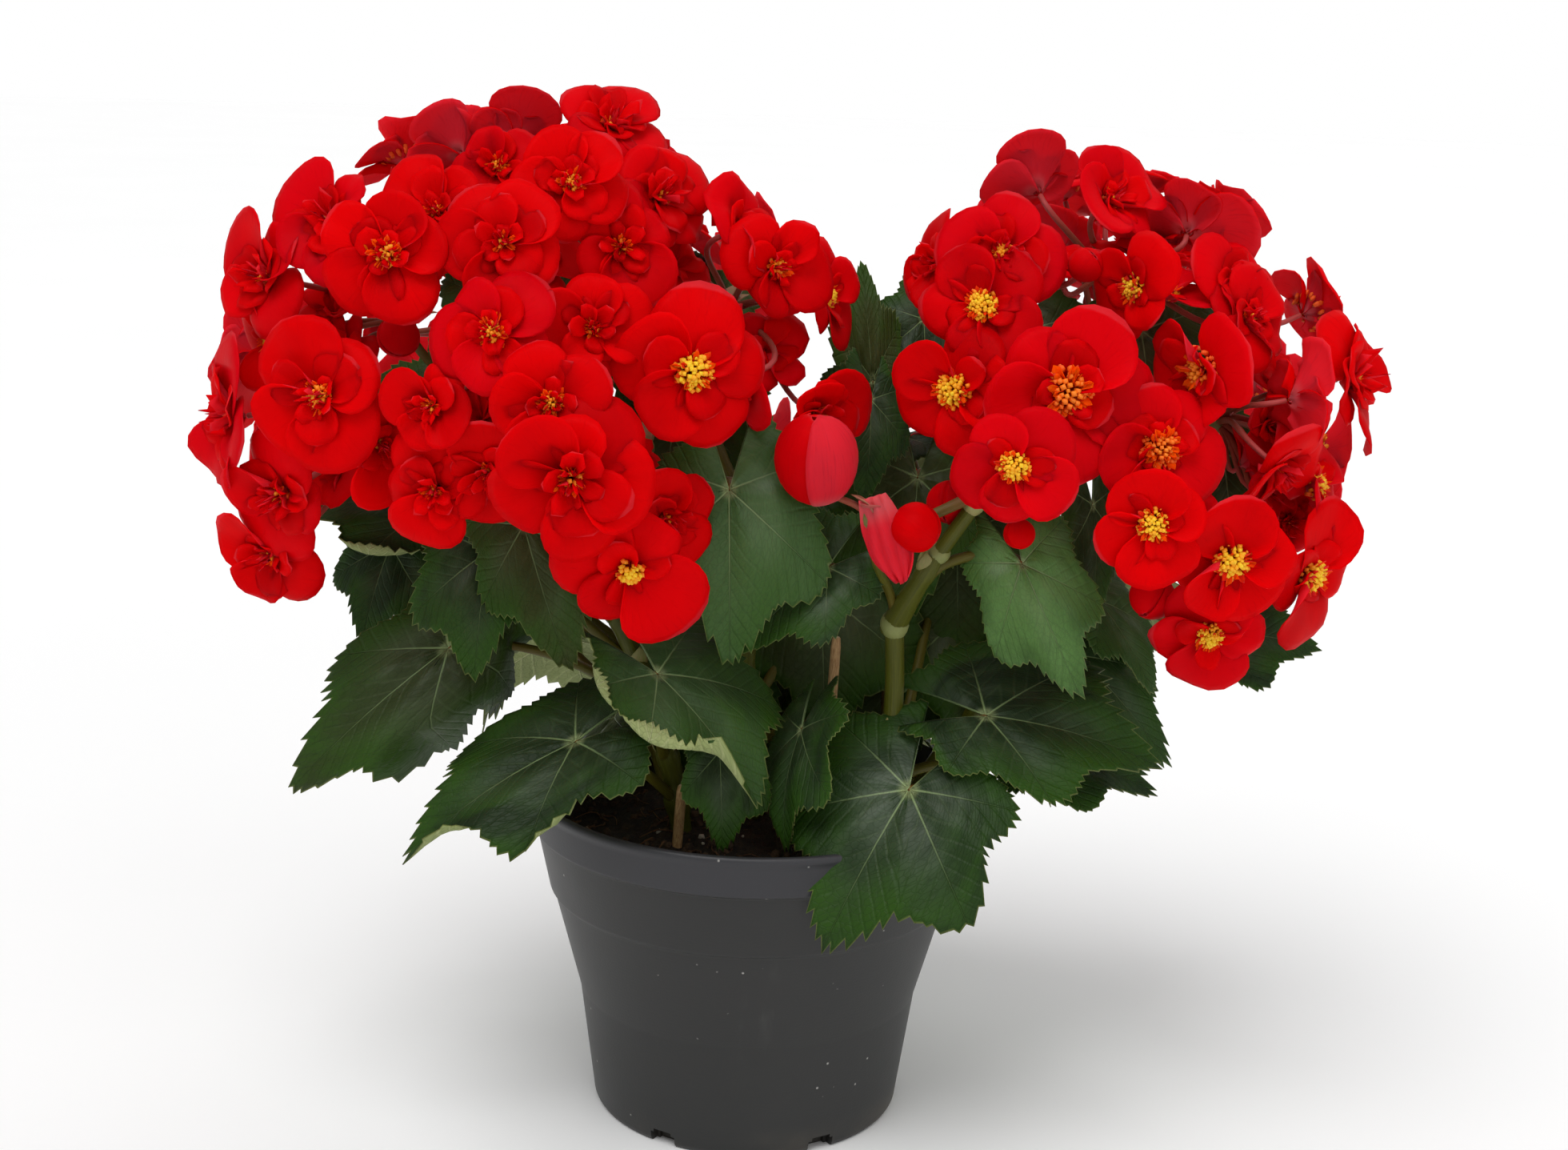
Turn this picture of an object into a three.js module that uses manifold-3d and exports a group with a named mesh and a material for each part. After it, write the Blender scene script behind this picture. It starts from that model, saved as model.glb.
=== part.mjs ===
// A potted begonia: a flared plastic pot filled with soil, leafy stems and two domes of red bloom.
// Millimetres, +Z up, the pot's axis on Z and its foot at z = 0; -Y is the front.
import * as THREE from "three";
import { mergeVertices } from "three/addons/utils/BufferGeometryUtils.js";
import Module from "manifold-3d";

const wasm = await Module();
wasm.setup();

// Driving sizes
const GAP = 0.3;
const POT_HEIGHT = 110;
const RIM_RADIUS = 74;
const BASE_RADIUS = 51;
const WAIST_HEIGHT = 40;
const WAIST_RADIUS = 56.2;
const STEP_HEIGHT = 75.5;
const STEP_RADIUS = 65.5;
const BAND_LOW = 97;
const BAND_RADIUS = 72.6;
const WALL = 2;
const FLOOR = 3;
const POT_SIDES = 26;
const DRAIN_HOLES = 6;
const DRAIN_WIDTH = 9;
const SOIL_TOP = 100;
const STICK_RADIUS = 1.6;
const LEAF_THICKNESS = 0.9;
const PETAL_THICKNESS = 0.9;
const PEDICEL_RADIUS = 1;
const PEDUNCLE_RADIUS = 1.5;
const PETIOLE_RADIUS = 1.9;
const HUB_RADIUS = 4.8;
const PEDUNCLE_REACH = 0.6 * HUB_RADIUS;
const PEDICEL_REACH = 0.35 * HUB_RADIUS;
const LEAF_VEINS = 7;
const LEAF_SPREAD = 160;
const LEAF_NOTCH = 0.08;
const LEAF_WAIST = 0.6;
const LEAF_CUTS = [1, 0.86];

// Shares of a bloom's radius
const PETAL_NOTCH = 0.52;
const PETAL_SIDE = 0.85;
const PETAL_DIP = 0.66;
const SHORT_PETAL = 0.92;
const HEART_RADIUS = 0.3;
const HEART_RISE = 0.16;
const CENTRE_RISE = 0.24;

// Blooms from this radius up have a hollow down each petal, and those under the small one no heart
const LARGE_BLOOM = 25;
const SMALL_BLOOM = 12;

// Where the blooms of the far side lie, in degrees of rise and of turn to each side
const BACK_LOW = -22;
const BACK_HIGH = 76;
const BACK_SPREAD = 74;
const GOLDEN = 0.618;

const rad = THREE.MathUtils.degToRad;
const V = (x, y, z) => new THREE.Vector3(x, y, z);

function seeded(seed) {
  let state = seed * 2654435761 >>> 0;
  return () => {
    state = (state * 1664525 + 1013904223) >>> 0;
    return state / 4294967296;
  };
}

// A direction from its turn round the pot (0 faces the front, 90 is +X) and its rise, in degrees.
function facing(turn, rise) {
  const flat = Math.cos(rad(rise));
  return V(Math.sin(rad(turn)) * flat, -Math.cos(rad(turn)) * flat, Math.sin(rad(rise)));
}

// Closed meshes to solids and back
function solidFrom(geometry) {
  const bare = new THREE.BufferGeometry();
  bare.setAttribute("position", geometry.getAttribute("position"));
  if (geometry.index) bare.setIndex(geometry.index);
  const merged = mergeVertices(bare, 1e-4);
  const triangles = [];
  const index = merged.index.array;
  for (let i = 0; i < index.length; i += 3) {
    const [a, b, c] = [index[i], index[i + 1], index[i + 2]];
    if (a !== b && b !== c && c !== a) triangles.push(a, b, c);
  }
  return new wasm.Manifold(new wasm.Mesh({
    numProp: 3,
    vertProperties: new Float32Array(merged.getAttribute("position").array),
    triVerts: new Uint32Array(triangles),
  }));
}

function meshGeometry(points, triangles) {
  const geometry = new THREE.BufferGeometry();
  const flat = points.flatMap((p) => [p.x, p.y, p.z]);
  geometry.setAttribute("position", new THREE.Float32BufferAttribute(flat, 3));
  geometry.setIndex(triangles);
  return geometry;
}

function geometryFrom(solid) {
  const { vertProperties, triVerts } = solid.getMesh();
  const geometry = new THREE.BufferGeometry();
  geometry.setAttribute("position", new THREE.BufferAttribute(new Float32Array(vertProperties), 3));
  geometry.setIndex([...triVerts]);
  geometry.computeVertexNormals();
  return geometry;
}

function largestBody(solid) {
  const bodies = solid.decompose();
  return bodies.reduce((best, body) => (body.volume() > best.volume() ? body : best));
}

const join = (solids) => wasm.Manifold.union(solids);

// A thin blade on its own stalk, closed as one skin. `sheet` holds the blade's middle surface, `faces`
// and `rim` run anticlockwise seen from above, and `raise` lifts points of the upper face alone. Under
// it, `under` may name collar points as sheet.length and up: the stalk hangs from that collar.
function stalkedBlade({ sheet, faces, under, rim, raise, collar, path, radii, thickness }) {
  const count = sheet.length;
  const normals = sheet.map(() => V(0, 0, 0));
  for (const [a, b, c] of faces) {
    const normal = sheet[b].clone().sub(sheet[a]).cross(sheet[c].clone().sub(sheet[a]));
    for (const corner of [a, b, c]) normals[corner].add(normal);
  }
  normals.forEach((normal) => normal.normalize());
  const upper = sheet.map((p, i) => p.clone().addScaledVector(normals[i], thickness / 2 + (raise[i] ?? 0)));
  const lower = sheet.map((p, i) => p.clone().addScaledVector(normals[i], -thickness / 2));
  const sides = collar.length;
  const rings = [...collar];
  const across = collar[0].clone().sub(path[0]);
  for (let i = 1; i < path.length; i += 1) {
    const ahead = path[Math.min(i + 1, path.length - 1)];
    const along = ahead.clone().sub(path[i - 1]).normalize();
    across.addScaledVector(along, -across.dot(along)).normalize();
    const aside = across.clone().cross(along);
    for (let s = 0; s < sides; s += 1) {
      const turn = (2 * Math.PI * s) / sides;
      rings.push(path[i].clone()
        .addScaledVector(across, radii[i] * Math.cos(turn))
        .addScaledVector(aside, radii[i] * Math.sin(turn)));
    }
  }
  const triangles = faces.flat();
  for (const [a, b, c] of under) triangles.push(count + a, count + c, count + b);
  rim.forEach((a, i) => {
    const b = rim[(i + 1) % rim.length];
    triangles.push(b, a, count + a, b, count + a, count + b);
  });
  for (let i = 0; i + 1 < path.length; i += 1) {
    for (let s = 0; s < sides; s += 1) {
      const a = 2 * count + i * sides + s;
      const b = 2 * count + i * sides + ((s + 1) % sides);
      triangles.push(a, a + sides, b + sides, a, b + sides, b);
    }
  }
  const last = 2 * count + (path.length - 1) * sides;
  for (let s = 1; s + 1 < sides; s += 1) triangles.push(last, last + s + 1, last + s);
  return solidFrom(meshGeometry([...upper, ...lower, ...rings], triangles));
}

// A tapering limb through `points`, with a flat-sided ring of the given radius at each point.
function limb(points, radii, sides, grow = 0) {
  const rings = [];
  let across = V(0, 0, 0);
  points.forEach((point, i) => {
    const ahead = points[Math.min(i + 1, points.length - 1)];
    const behind = points[Math.max(i - 1, 0)];
    const along = ahead.clone().sub(behind).normalize();
    if (i === 0) {
      across = V(0, 1, 0).cross(along);
      if (across.lengthSq() < 0.05) across = V(1, 0, 0).cross(along);
    }
    across.addScaledVector(along, -across.dot(along)).normalize();
    const aside = along.clone().cross(across);
    const end = i === 0 ? -grow : i === points.length - 1 ? grow : 0;
    const centre = point.clone().addScaledVector(along, end);
    for (let s = 0; s < sides; s += 1) {
      const turn = (2 * Math.PI * s) / sides;
      const reach = radii[i] + grow;
      rings.push(centre.clone()
        .addScaledVector(across, reach * Math.cos(turn))
        .addScaledVector(aside, reach * Math.sin(turn)));
    }
  });
  const triangles = [];
  for (let i = 0; i + 1 < points.length; i += 1) {
    for (let s = 0; s < sides; s += 1) {
      const a = i * sides + s;
      const b = i * sides + ((s + 1) % sides);
      triangles.push(a, b, b + sides, a, b + sides, a + sides);
    }
  }
  const last = (points.length - 1) * sides;
  for (let s = 1; s + 1 < sides; s += 1) {
    triangles.push(0, s + 1, s);
    triangles.push(last, last + s, last + s + 1);
  }
  return solidFrom(meshGeometry(rings, triangles));
}

// Points on a curve that leaves `from` along `start` and comes in to `to` along `finish`.
function bend(from, start, to, finish, steps) {
  const reach = from.distanceTo(to) / 2.6;
  const curve = new THREE.CubicBezierCurve3(
    from,
    from.clone().addScaledVector(start, reach),
    to.clone().addScaledVector(finish, -reach),
    to,
  );
  return curve.getPoints(steps);
}

// Pot
const POT_OUTSIDE = [
  [BASE_RADIUS - 1, 0],
  [BASE_RADIUS, 1.5],
  [WAIST_RADIUS, WAIST_HEIGHT],
  [STEP_RADIUS, STEP_HEIGHT - 1],
  [STEP_RADIUS + 1.2, STEP_HEIGHT],
  [BAND_RADIUS - 1.4, BAND_LOW - 0.8],
  [BAND_RADIUS, BAND_LOW],
  [RIM_RADIUS - 0.8, POT_HEIGHT - 3.5],
  [RIM_RADIUS, POT_HEIGHT - 1.6],
  [RIM_RADIUS - 0.7, POT_HEIGHT],
];
const POT_INSIDE = [
  [RIM_RADIUS - WALL - 0.6, POT_HEIGHT],
  [BAND_RADIUS - WALL - 2, BAND_LOW],
  [WAIST_RADIUS - WALL - 0.4, WAIST_HEIGHT],
  [BASE_RADIUS - WALL, FLOOR],
];

function potSolid() {
  const profile = [V(0, 0, 0), ...POT_OUTSIDE.map(([r, z]) => V(r, z, 0)),
    ...POT_INSIDE.map(([r, z]) => V(r, z, 0)), V(0, FLOOR, 0)];
  const shell = new THREE.LatheGeometry(profile.map((p) => new THREE.Vector2(p.x, p.y)), POT_SIDES);
  shell.rotateX(Math.PI / 2);
  let pot = solidFrom(shell);
  for (let i = 0; i < DRAIN_HOLES; i += 1) {
    const notch = new THREE.BoxGeometry(DRAIN_WIDTH, 10, 7);
    notch.translate(0, -BASE_RADIUS, 1.5);
    notch.rotateZ(rad(30 + (360 * i) / DRAIN_HOLES));
    pot = pot.subtract(solidFrom(notch));
  }
  return pot;
}

// Leafy stems. `spine` holds [x, y, z, radius] from the soil upward. A leaf leaves it `at` so many
// points up, with `tip` and `face` the way its point and its upper side look, as turn and rise.
const LEAFY_STEMS = {
  front_left: {
    spine: [[-20, -22, 66, 3.2], [-24, -26, 112, 3.4], [-34, -32, 150, 3], [-50, -34, 188, 2.6]],
    leaves: [
      { at: 1, hub: [-53, -62, 141], tip: [-71, -24], face: [-21, 55], long: 54, wide: 0.66, lean: 0 },
      { at: 1.4, hub: [-29, -62, 163], tip: [60, -35], face: [32, 52], long: 44, wide: 0.9, lean: 1 },
      { at: 1.8, hub: [-96, -30, 160], tip: [-70, -36], face: [-6, 31], long: 59, wide: 0.6, lean: 1 },
      { at: 2.2, hub: [-88, -46, 195], tip: [-3, -56], face: [6, 33], long: 34, wide: 0.75, lean: -1 },
      { at: 2.6, hub: [-70, -52, 205], tip: [39, -61], face: [-9, 20], long: 40, wide: 0.75, lean: 1 },
      { at: 0.95, hub: [-10, -54, 137], tip: [12, -68], face: [9, 22], long: 27, wide: 0.7, lean: 1 },
    ],
    stalks: ["left_front", "left_top"],
  },
  centre: {
    spine: [[0, -4, 66, 3.2], [0, -10, 115, 3.4], [-4, -18, 165, 3], [0, -22, 205, 2.6]],
    leaves: [
      { at: 2.4, hub: [-9, -58, 219], tip: [6, -69], face: [1, 21], long: 45, wide: 0.8, lean: 1 },
      { at: 1.9, hub: [21, -52, 195], tip: [-68, -36], face: [-9, 35], long: 34, wide: 0.83, lean: -1 },
      { at: 1.2, hub: [15, -46, 142], tip: [-33, -57], face: [-61, 30], long: 32, wide: 0.72, lean: 1 },
      { at: 2.8, hub: [35, 4, 246], tip: [-169, 72], face: [-3, 17], long: 33, wide: 0.36, lean: 1 },
      { at: 2.6, hub: [33, -14, 240], tip: [3, -65], face: [15, 25], long: 28, wide: 0.7, lean: -1 },
    ],
    stalks: ["left_upper_right", "left_lower_right"],
  },
  front_right: {
    spine: [[40, -30, 66, 3.2], [42, -36, 115, 3.3], [43, -40, 152, 3], [42, -45, 174, 3],
      [42, -45, 177, 4], [51, -58, 198, 2.6], [63, -62, 218, 2.2]],
    leaves: [
      { at: 0.9, hub: [48, -58, 128], tip: [-47, -47], face: [-18, 39], long: 49, wide: 0.98, lean: 0 },
      { at: 1.6, hub: [71, -48, 149], tip: [80, -4], face: [-4, 52], long: 49, wide: 0.78, lean: 1 },
      { at: 4.9, hub: [78, -60, 200], tip: [41, -53], face: [-11, 25], long: 39, wide: 0.62, lean: 0 },
      { at: 1.2, hub: [88, -30, 132], tip: [84, -7], face: [6, 58], long: 38, wide: 0.7, lean: 1 },
    ],
    stalks: ["middle_buds", "right_lower_left"],
  },
  right: {
    spine: [[38, 6, 66, 3.2], [58, 4, 112, 3.4], [86, -4, 160, 3], [104, -10, 200, 2.6]],
    leaves: [
      { at: 2.2, hub: [107, -18, 179], tip: [49, -41], face: [23, 46], long: 30, wide: 0.6, lean: 1 },
      { at: 2.8, hub: [101, -34, 213], tip: [19, -68], face: [29, 22], long: 33, wide: 0.5, lean: -1 },
      { at: 2.5, hub: [147, -10, 168], tip: [82, -1], face: [-7, 43], long: 30, wide: 0.9, lean: 1 },
      { at: 1.7, hub: [103, -4, 157], tip: [67, -38], face: [17, 39], long: 42, wide: 0.6, lean: -1 },
    ],
    stalks: ["right_front", "right_side"],
  },
  back_left: {
    spine: [[-24, 20, 66, 3.2], [-34, 30, 115, 3.4], [-52, 36, 165, 3], [-66, 34, 205, 2.6]],
    leaves: [
      { at: 1, hub: [-68, 52, 142], tip: [-128, -26], face: [-178, 48], long: 52, wide: 0.95, lean: 1 },
      { at: 0.95, hub: [-28, 72, 132], tip: [172, -30], face: [-178, 46], long: 52, wide: 0.9, lean: -1 },
      { at: 1.5, hub: [-102, 20, 189], tip: [-86, -6], face: [-4, 68], long: 42, wide: 0.6, lean: 1 },
      { at: 1.9, hub: [-56, 74, 184], tip: [-160, -56], face: [180, 32], long: 44, wide: 0.9, lean: -1 },
      { at: 2.2, hub: [-110, -2, 180], tip: [-83, -10], face: [-10, 57], long: 34, wide: 0.8, lean: 1 },
    ],
    stalks: ["left_back", "left_side", "left_low_side"],
  },
  back_right: {
    spine: [[24, 26, 66, 3.2], [34, 36, 115, 3.4], [60, 40, 165, 3], [84, 34, 205, 2.6]],
    leaves: [
      { at: 0.95, hub: [24, 78, 138], tip: [160, -28], face: [178, 48], long: 54, wide: 0.95, lean: 1 },
      { at: 1.1, hub: [74, 60, 144], tip: [124, -26], face: [170, 50], long: 52, wide: 0.9, lean: -1 },
      { at: 1.6, hub: [114, 36, 174], tip: [108, -28], face: [150, 50], long: 46, wide: 0.9, lean: 1 },
      { at: 1.9, hub: [50, 76, 192], tip: [160, -54], face: [176, 34], long: 42, wide: 0.9, lean: -1 },
      { at: 1.4, hub: [8, 64, 198], tip: [-170, -46], face: [180, 40], long: 42, wide: 0.9, lean: 1 },
    ],
    stalks: ["right_top", "right_back", "right_upper_left"],
  },
};

// Flower sprays. A bloom is [x, y, z, turn, rise, radius, cup in degrees, petals].
const SPRAYS = {
  left_top: {
    hub: [-70, -4, 272],
    blooms: [
      [-78, -50, 309, 0, 22, 15, 30, 4],
      [-56, -62, 306, 8, 22, 18, 22, 5],
      [-48, -32, 320, 30, 50, 19, 25, 4],
      [-93, -20, 311, -150, 30, 18, 30, 4],
      [-77, -16, 318, -60, 62, 18, 62, 4],
      [-93, -60, 296, -12, 25, 19, 25, 4],
      [-73, -75, 290, 0, 18, 19, 22, 5],
      [-42, -58, 289, 10, 10, 19, 30, 4],
    ],
  },
  left_upper_right: {
    hub: [-12, -14, 266],
    blooms: [
      [-34, -42, 301, 40, 30, 21, 28, 4],
      [-14, -36, 291, 62, 24, 22, 50, 4],
      [1, -42, 283, 30, 5, 20, 35, 4],
      [20, -22, 272, 66, 12, 20, 36, 4],
      [-1, -48, 253, -62, -20, 20, 36, 4],
      [-20, -80, 257, 14, 4, 23, 18, 5],
      [14, -38, 240, 40, -10, 20, 34, 4],
    ],
  },
  left_side: {
    hub: [-112, -12, 258],
    blooms: [
      [-106, -72, 286, 4, 12, 21, 22, 5],
      [-124, -48, 291, -30, 25, 22, 34, 4],
      [-144, -44, 275, -45, 14, 21, 32, 4],
      [-144, -38, 257, -50, -4, 19, 34, 4],
      [-124, -74, 246, -12, 2, 23, 26, 4],
      [-154, -44, 234, -58, 0, 24, 30, 4],
      [-105, -60, 264, -10, -60, 8, 66, 3],
    ],
  },
  left_front: {
    hub: [-74, -36, 246],
    blooms: [
      [-74, -88, 267, -6, 12, 19, 22, 5],
      [-48, -80, 268, 10, 14, 19, 25, 4],
      [-57, -98, 250, 4, 6, 19, 22, 5],
      [-91, -84, 246, -14, 0, 16, 32, 4],
      [-112, -66, 232, 40, -6, 19, 45, 4],
      [-92, -82, 214, -6, -12, 19, 26, 4],
      [-76, -84, 229, 0, -20, 17, 32, 4],
    ],
  },
  left_lower_right: {
    hub: [-36, -36, 226],
    blooms: [
      [-51, -104, 231, 8, -2, 26, 20, 5],
      [-36, -90, 203, 10, -14, 23, 22, 4],
      [-24, -72, 214, 34, -12, 21, 26, 4],
    ],
  },
  left_low_side: {
    hub: [-112, -6, 222],
    blooms: [
      [-140, -50, 213, -30, -14, 22, 28, 4],
      [-143, -38, 190, -150, -10, 22, 30, 4],
      [-152, -4, 212, -92, -6, 22, 28, 4],
      [-158, 4, 244, -104, 6, 22, 28, 4],
    ],
  },
  middle_buds: {
    hub: [33, -68, 214],
    blooms: [
      [17, -64, 226, -40, 42, 16, 72, 3],
      [47, -70, 212, 60, -24, 10, 76, 3],
    ],
  },
  right_lower_left: {
    hub: [66, -38, 234],
    blooms: [
      [56, -66, 252, -22, 4, 21, 20, 5],
      [85, -80, 255, 6, 8, 25, 20, 5],
      [70, -96, 237, -2, -6, 19, 20, 5],
      [57, -52, 219, -20, -50, 9, 70, 3],
      [76, -64, 212, 10, -72, 6, 74, 3],
    ],
  },
  right_upper_left: {
    hub: [68, -10, 270],
    blooms: [
      [63, -60, 275, -18, 18, 20, 22, 5],
      [68, -52, 289, -6, 24, 20, 26, 4],
      [46, -26, 283, -62, 12, 18, 32, 4],
      [92, -50, 286, 20, 40, 7, 70, 3],
    ],
  },
  right_front: {
    hub: [112, -38, 220],
    blooms: [
      [112, -76, 239, 14, 8, 21, 24, 5],
      [111, -88, 220, -6, -4, 19, 20, 4],
      [135, -76, 208, 10, -10, 22, 22, 5],
      [134, -64, 183, -8, -22, 19, 26, 4],
      [118, -60, 194, -40, -50, 9, 64, 3],
    ],
  },
  right_top: {
    hub: [106, 2, 276],
    blooms: [
      [83, -4, 304, -160, 36, 21, 34, 4],
      [100, -20, 302, 40, 36, 21, 32, 4],
      [127, -16, 294, 170, 32, 21, 34, 4],
      [108, -56, 282, -46, -4, 18, 34, 4],
      [137, -30, 279, 50, 30, 20, 32, 4],
      [141, -38, 271, 40, 24, 18, 30, 4],
    ],
  },
  right_side: {
    hub: [142, -8, 236],
    blooms: [
      [165, -40, 196, 46, -10, 23, 26, 4],
      [155, -46, 249, 110, 10, 20, 30, 4],
      [176, -20, 252, 64, 16, 23, 28, 4],
      [150, -50, 232, 50, -30, 20, 34, 4],
      [165, -32, 220, 64, 24, 22, 30, 4],
      [128, -68, 261, -58, -12, 22, 32, 4],
      [176, 10, 224, 96, 0, 22, 28, 4],
    ],
  },
};

// The far side of each dome, which follows the front: blooms at even steps over a part of its surface.
const BACK_SPRAYS = {
  left_back: { hub: [-76, 38, 248], centre: [-76, 0, 240], size: [88, 94, 78], count: 15, seed: 5 },
  right_back: { hub: [110, 36, 246], centre: [112, 0, 240], size: [72, 84, 66], count: 13, seed: 8 },
};

function backBlooms({ centre, size, count, seed }) {
  const draw = seeded(seed);
  const rows = [];
  for (let i = 0; i < count; i += 1) {
    const rise = BACK_LOW + (BACK_HIGH - BACK_LOW) * ((i + 0.5) / count) ** 0.9;
    const turn = 180 + BACK_SPREAD * (2 * ((GOLDEN * (i + seed)) % 1) - 1);
    const out = facing(turn, rise);
    const place = V(...centre).add(V(out.x * size[0], out.y * size[1], out.z * size[2]));
    const radius = 17 + 4 * draw();
    const cup = 24 + 12 * draw();
    rows.push([place.x, place.y, place.z, turn + 16 * (draw() - 0.5), rise, radius, cup, 4, true]);
  }
  return rows;
}

function upSpine(spine, at) {
  const step = Math.floor(at);
  const from = V(...spine[step].slice(0, 3));
  return from.lerp(V(...spine[step + 1].slice(0, 3)), at - step);
}

// One leaf on its stalk: the veins fan out from where the stalk joins, just inside the notch, and the
// edge has teeth between them.
function stalkedLeaf(stem, leaf, grow = 0) {
  const { hub, tip, face, long, wide, lean } = leaf;
  const along = facing(...tip);
  const up = facing(...face);
  up.addScaledVector(along, -up.dot(along)).normalize();
  const aside = up.clone().cross(along);
  const origin = V(...hub);
  const teeth = LEAF_CUTS.length;
  const spaces = LEAF_VEINS - 1;
  const outline = (angle) => {
    const heart = LEAF_WAIST + (1 - LEAF_WAIST) * ((1 + Math.cos(rad(angle))) / 2) ** 1.2;
    return long * heart * (1 + 0.14 * lean * Math.sin(rad(angle)));
  };
  const place = (angle, reach) => {
    const x = reach * Math.cos(rad(angle));
    const y = reach * Math.sin(rad(angle)) * wide;
    const share = reach / long;
    const vein = Math.cos((angle / (2 * LEAF_SPREAD)) * spaces * 2 * Math.PI);
    const height = 0.1 * share - 0.24 * share ** 2 - 0.03 * share * vein + 0.05 * Math.abs(y / long);
    return origin.clone()
      .addScaledVector(along, x)
      .addScaledVector(aside, y)
      .addScaledVector(up, long * height);
  };
  const sheet = [origin.clone(), place(180, LEAF_NOTCH * long - grow)];
  const [centre, notch] = [0, 1];
  const middles = [];
  for (let i = 0; i < LEAF_VEINS; i += 1) {
    const angle = LEAF_SPREAD * ((2 * i) / spaces - 1);
    middles.push(sheet.length);
    sheet.push(place(angle, 0.5 * outline(angle)));
  }
  const edge = [];
  for (let i = 0; i <= spaces * teeth; i += 1) {
    const angle = LEAF_SPREAD * ((2 * i) / (spaces * teeth) - 1);
    edge.push(sheet.length);
    sheet.push(place(angle, outline(angle) * LEAF_CUTS[i % teeth] + grow));
  }
  const outer = [];
  for (let i = 0; i < spaces; i += 1) {
    const [m, n] = [middles[i], middles[i + 1]];
    const e = edge.slice(i * teeth, (i + 1) * teeth + 1);
    outer.push([m, e[0], e[1]], [m, e[1], n], [n, e[1], e[2]]);
  }
  const [first, final] = [middles[0], middles[spaces]];
  outer.push([first, notch, edge[0]], [final, edge[edge.length - 1], notch]);
  const ring = [notch, ...middles];
  const inner = ring.map((point, i) => [centre, point, ring[(i + 1) % ring.length]]);
  const radius = PETIOLE_RADIUS - 0.4 + grow;
  const under = origin.clone().addScaledVector(up, -LEAF_THICKNESS / 2 - grow);
  const collar = [-135, -45, 45, 135].map((angle) => under.clone()
    .addScaledVector(along, radius * Math.cos(rad(angle)))
    .addScaledVector(aside, radius * Math.sin(rad(angle))));
  const [c0, c1, c2, c3] = collar.map((_, i) => sheet.length + i);
  const m = middles;
  const beneath = [
    [c0, notch, m[0]], [c0, m[0], m[1]], [c0, m[1], c1], [c1, m[1], m[2]], [c1, m[2], m[3]],
    [c1, m[3], c2], [c2, m[3], m[4]], [c2, m[4], m[5]], [c2, m[5], c3], [c3, m[5], m[6]],
    [c3, m[6], notch], [c3, notch, c0],
  ];
  const foot = upSpine(stem.spine, leaf.at);
  const away = origin.clone().sub(foot).setZ(0).normalize();
  const end = foot.clone().addScaledVector(away, 1.2);
  const leave = up.clone().multiplyScalar(-0.8).addScaledVector(along, -0.7).normalize();
  const arrive = away.clone().multiplyScalar(-0.8).add(V(0, 0, -0.7)).normalize();
  const path = bend(under, leave, end, arrive, 2);
  const radii = [radius, PETIOLE_RADIUS + grow, PETIOLE_RADIUS + 0.3 + grow];
  return stalkedBlade({
    sheet, faces: [...inner, ...outer], under: [...beneath, ...outer], rim: [notch, ...edge],
    raise: [], collar, path, radii, thickness: LEAF_THICKNESS + 2 * grow,
  });
}

function flowerStalk(stem, hub, grow = 0) {
  const top = stem.spine[stem.spine.length - 1];
  const start = V(...top.slice(0, 3));
  const before = V(...stem.spine[stem.spine.length - 2].slice(0, 3));
  const leave = start.clone().sub(before).normalize();
  const arrive = V(...hub).sub(start).normalize().add(V(0, 0, 0.6)).normalize();
  const end = V(...hub).addScaledVector(arrive, -PEDUNCLE_REACH);
  const radii = [top[3], PEDUNCLE_RADIUS + 0.3, PEDUNCLE_RADIUS, PEDUNCLE_RADIUS];
  return limb(bend(start, leave, end, arrive, 3), radii, 4, grow);
}

function spineSolid(spine, grow = 0) {
  return limb(spine.map(([x, y, z]) => V(x, y, z)), spine.map((point) => point[3]), 6, grow);
}

function leafyStem(stem, grow = 0) {
  const spine = spineSolid(stem.spine, grow);
  const stalks = stem.stalks.map((name) => flowerStalk(stem, allSprays[name].hub, grow));
  const leaves = stem.leaves.map((leaf) => stalkedLeaf(stem, leaf, grow));
  return join([spine, ...stalks, ...leaves]);
}

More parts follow.
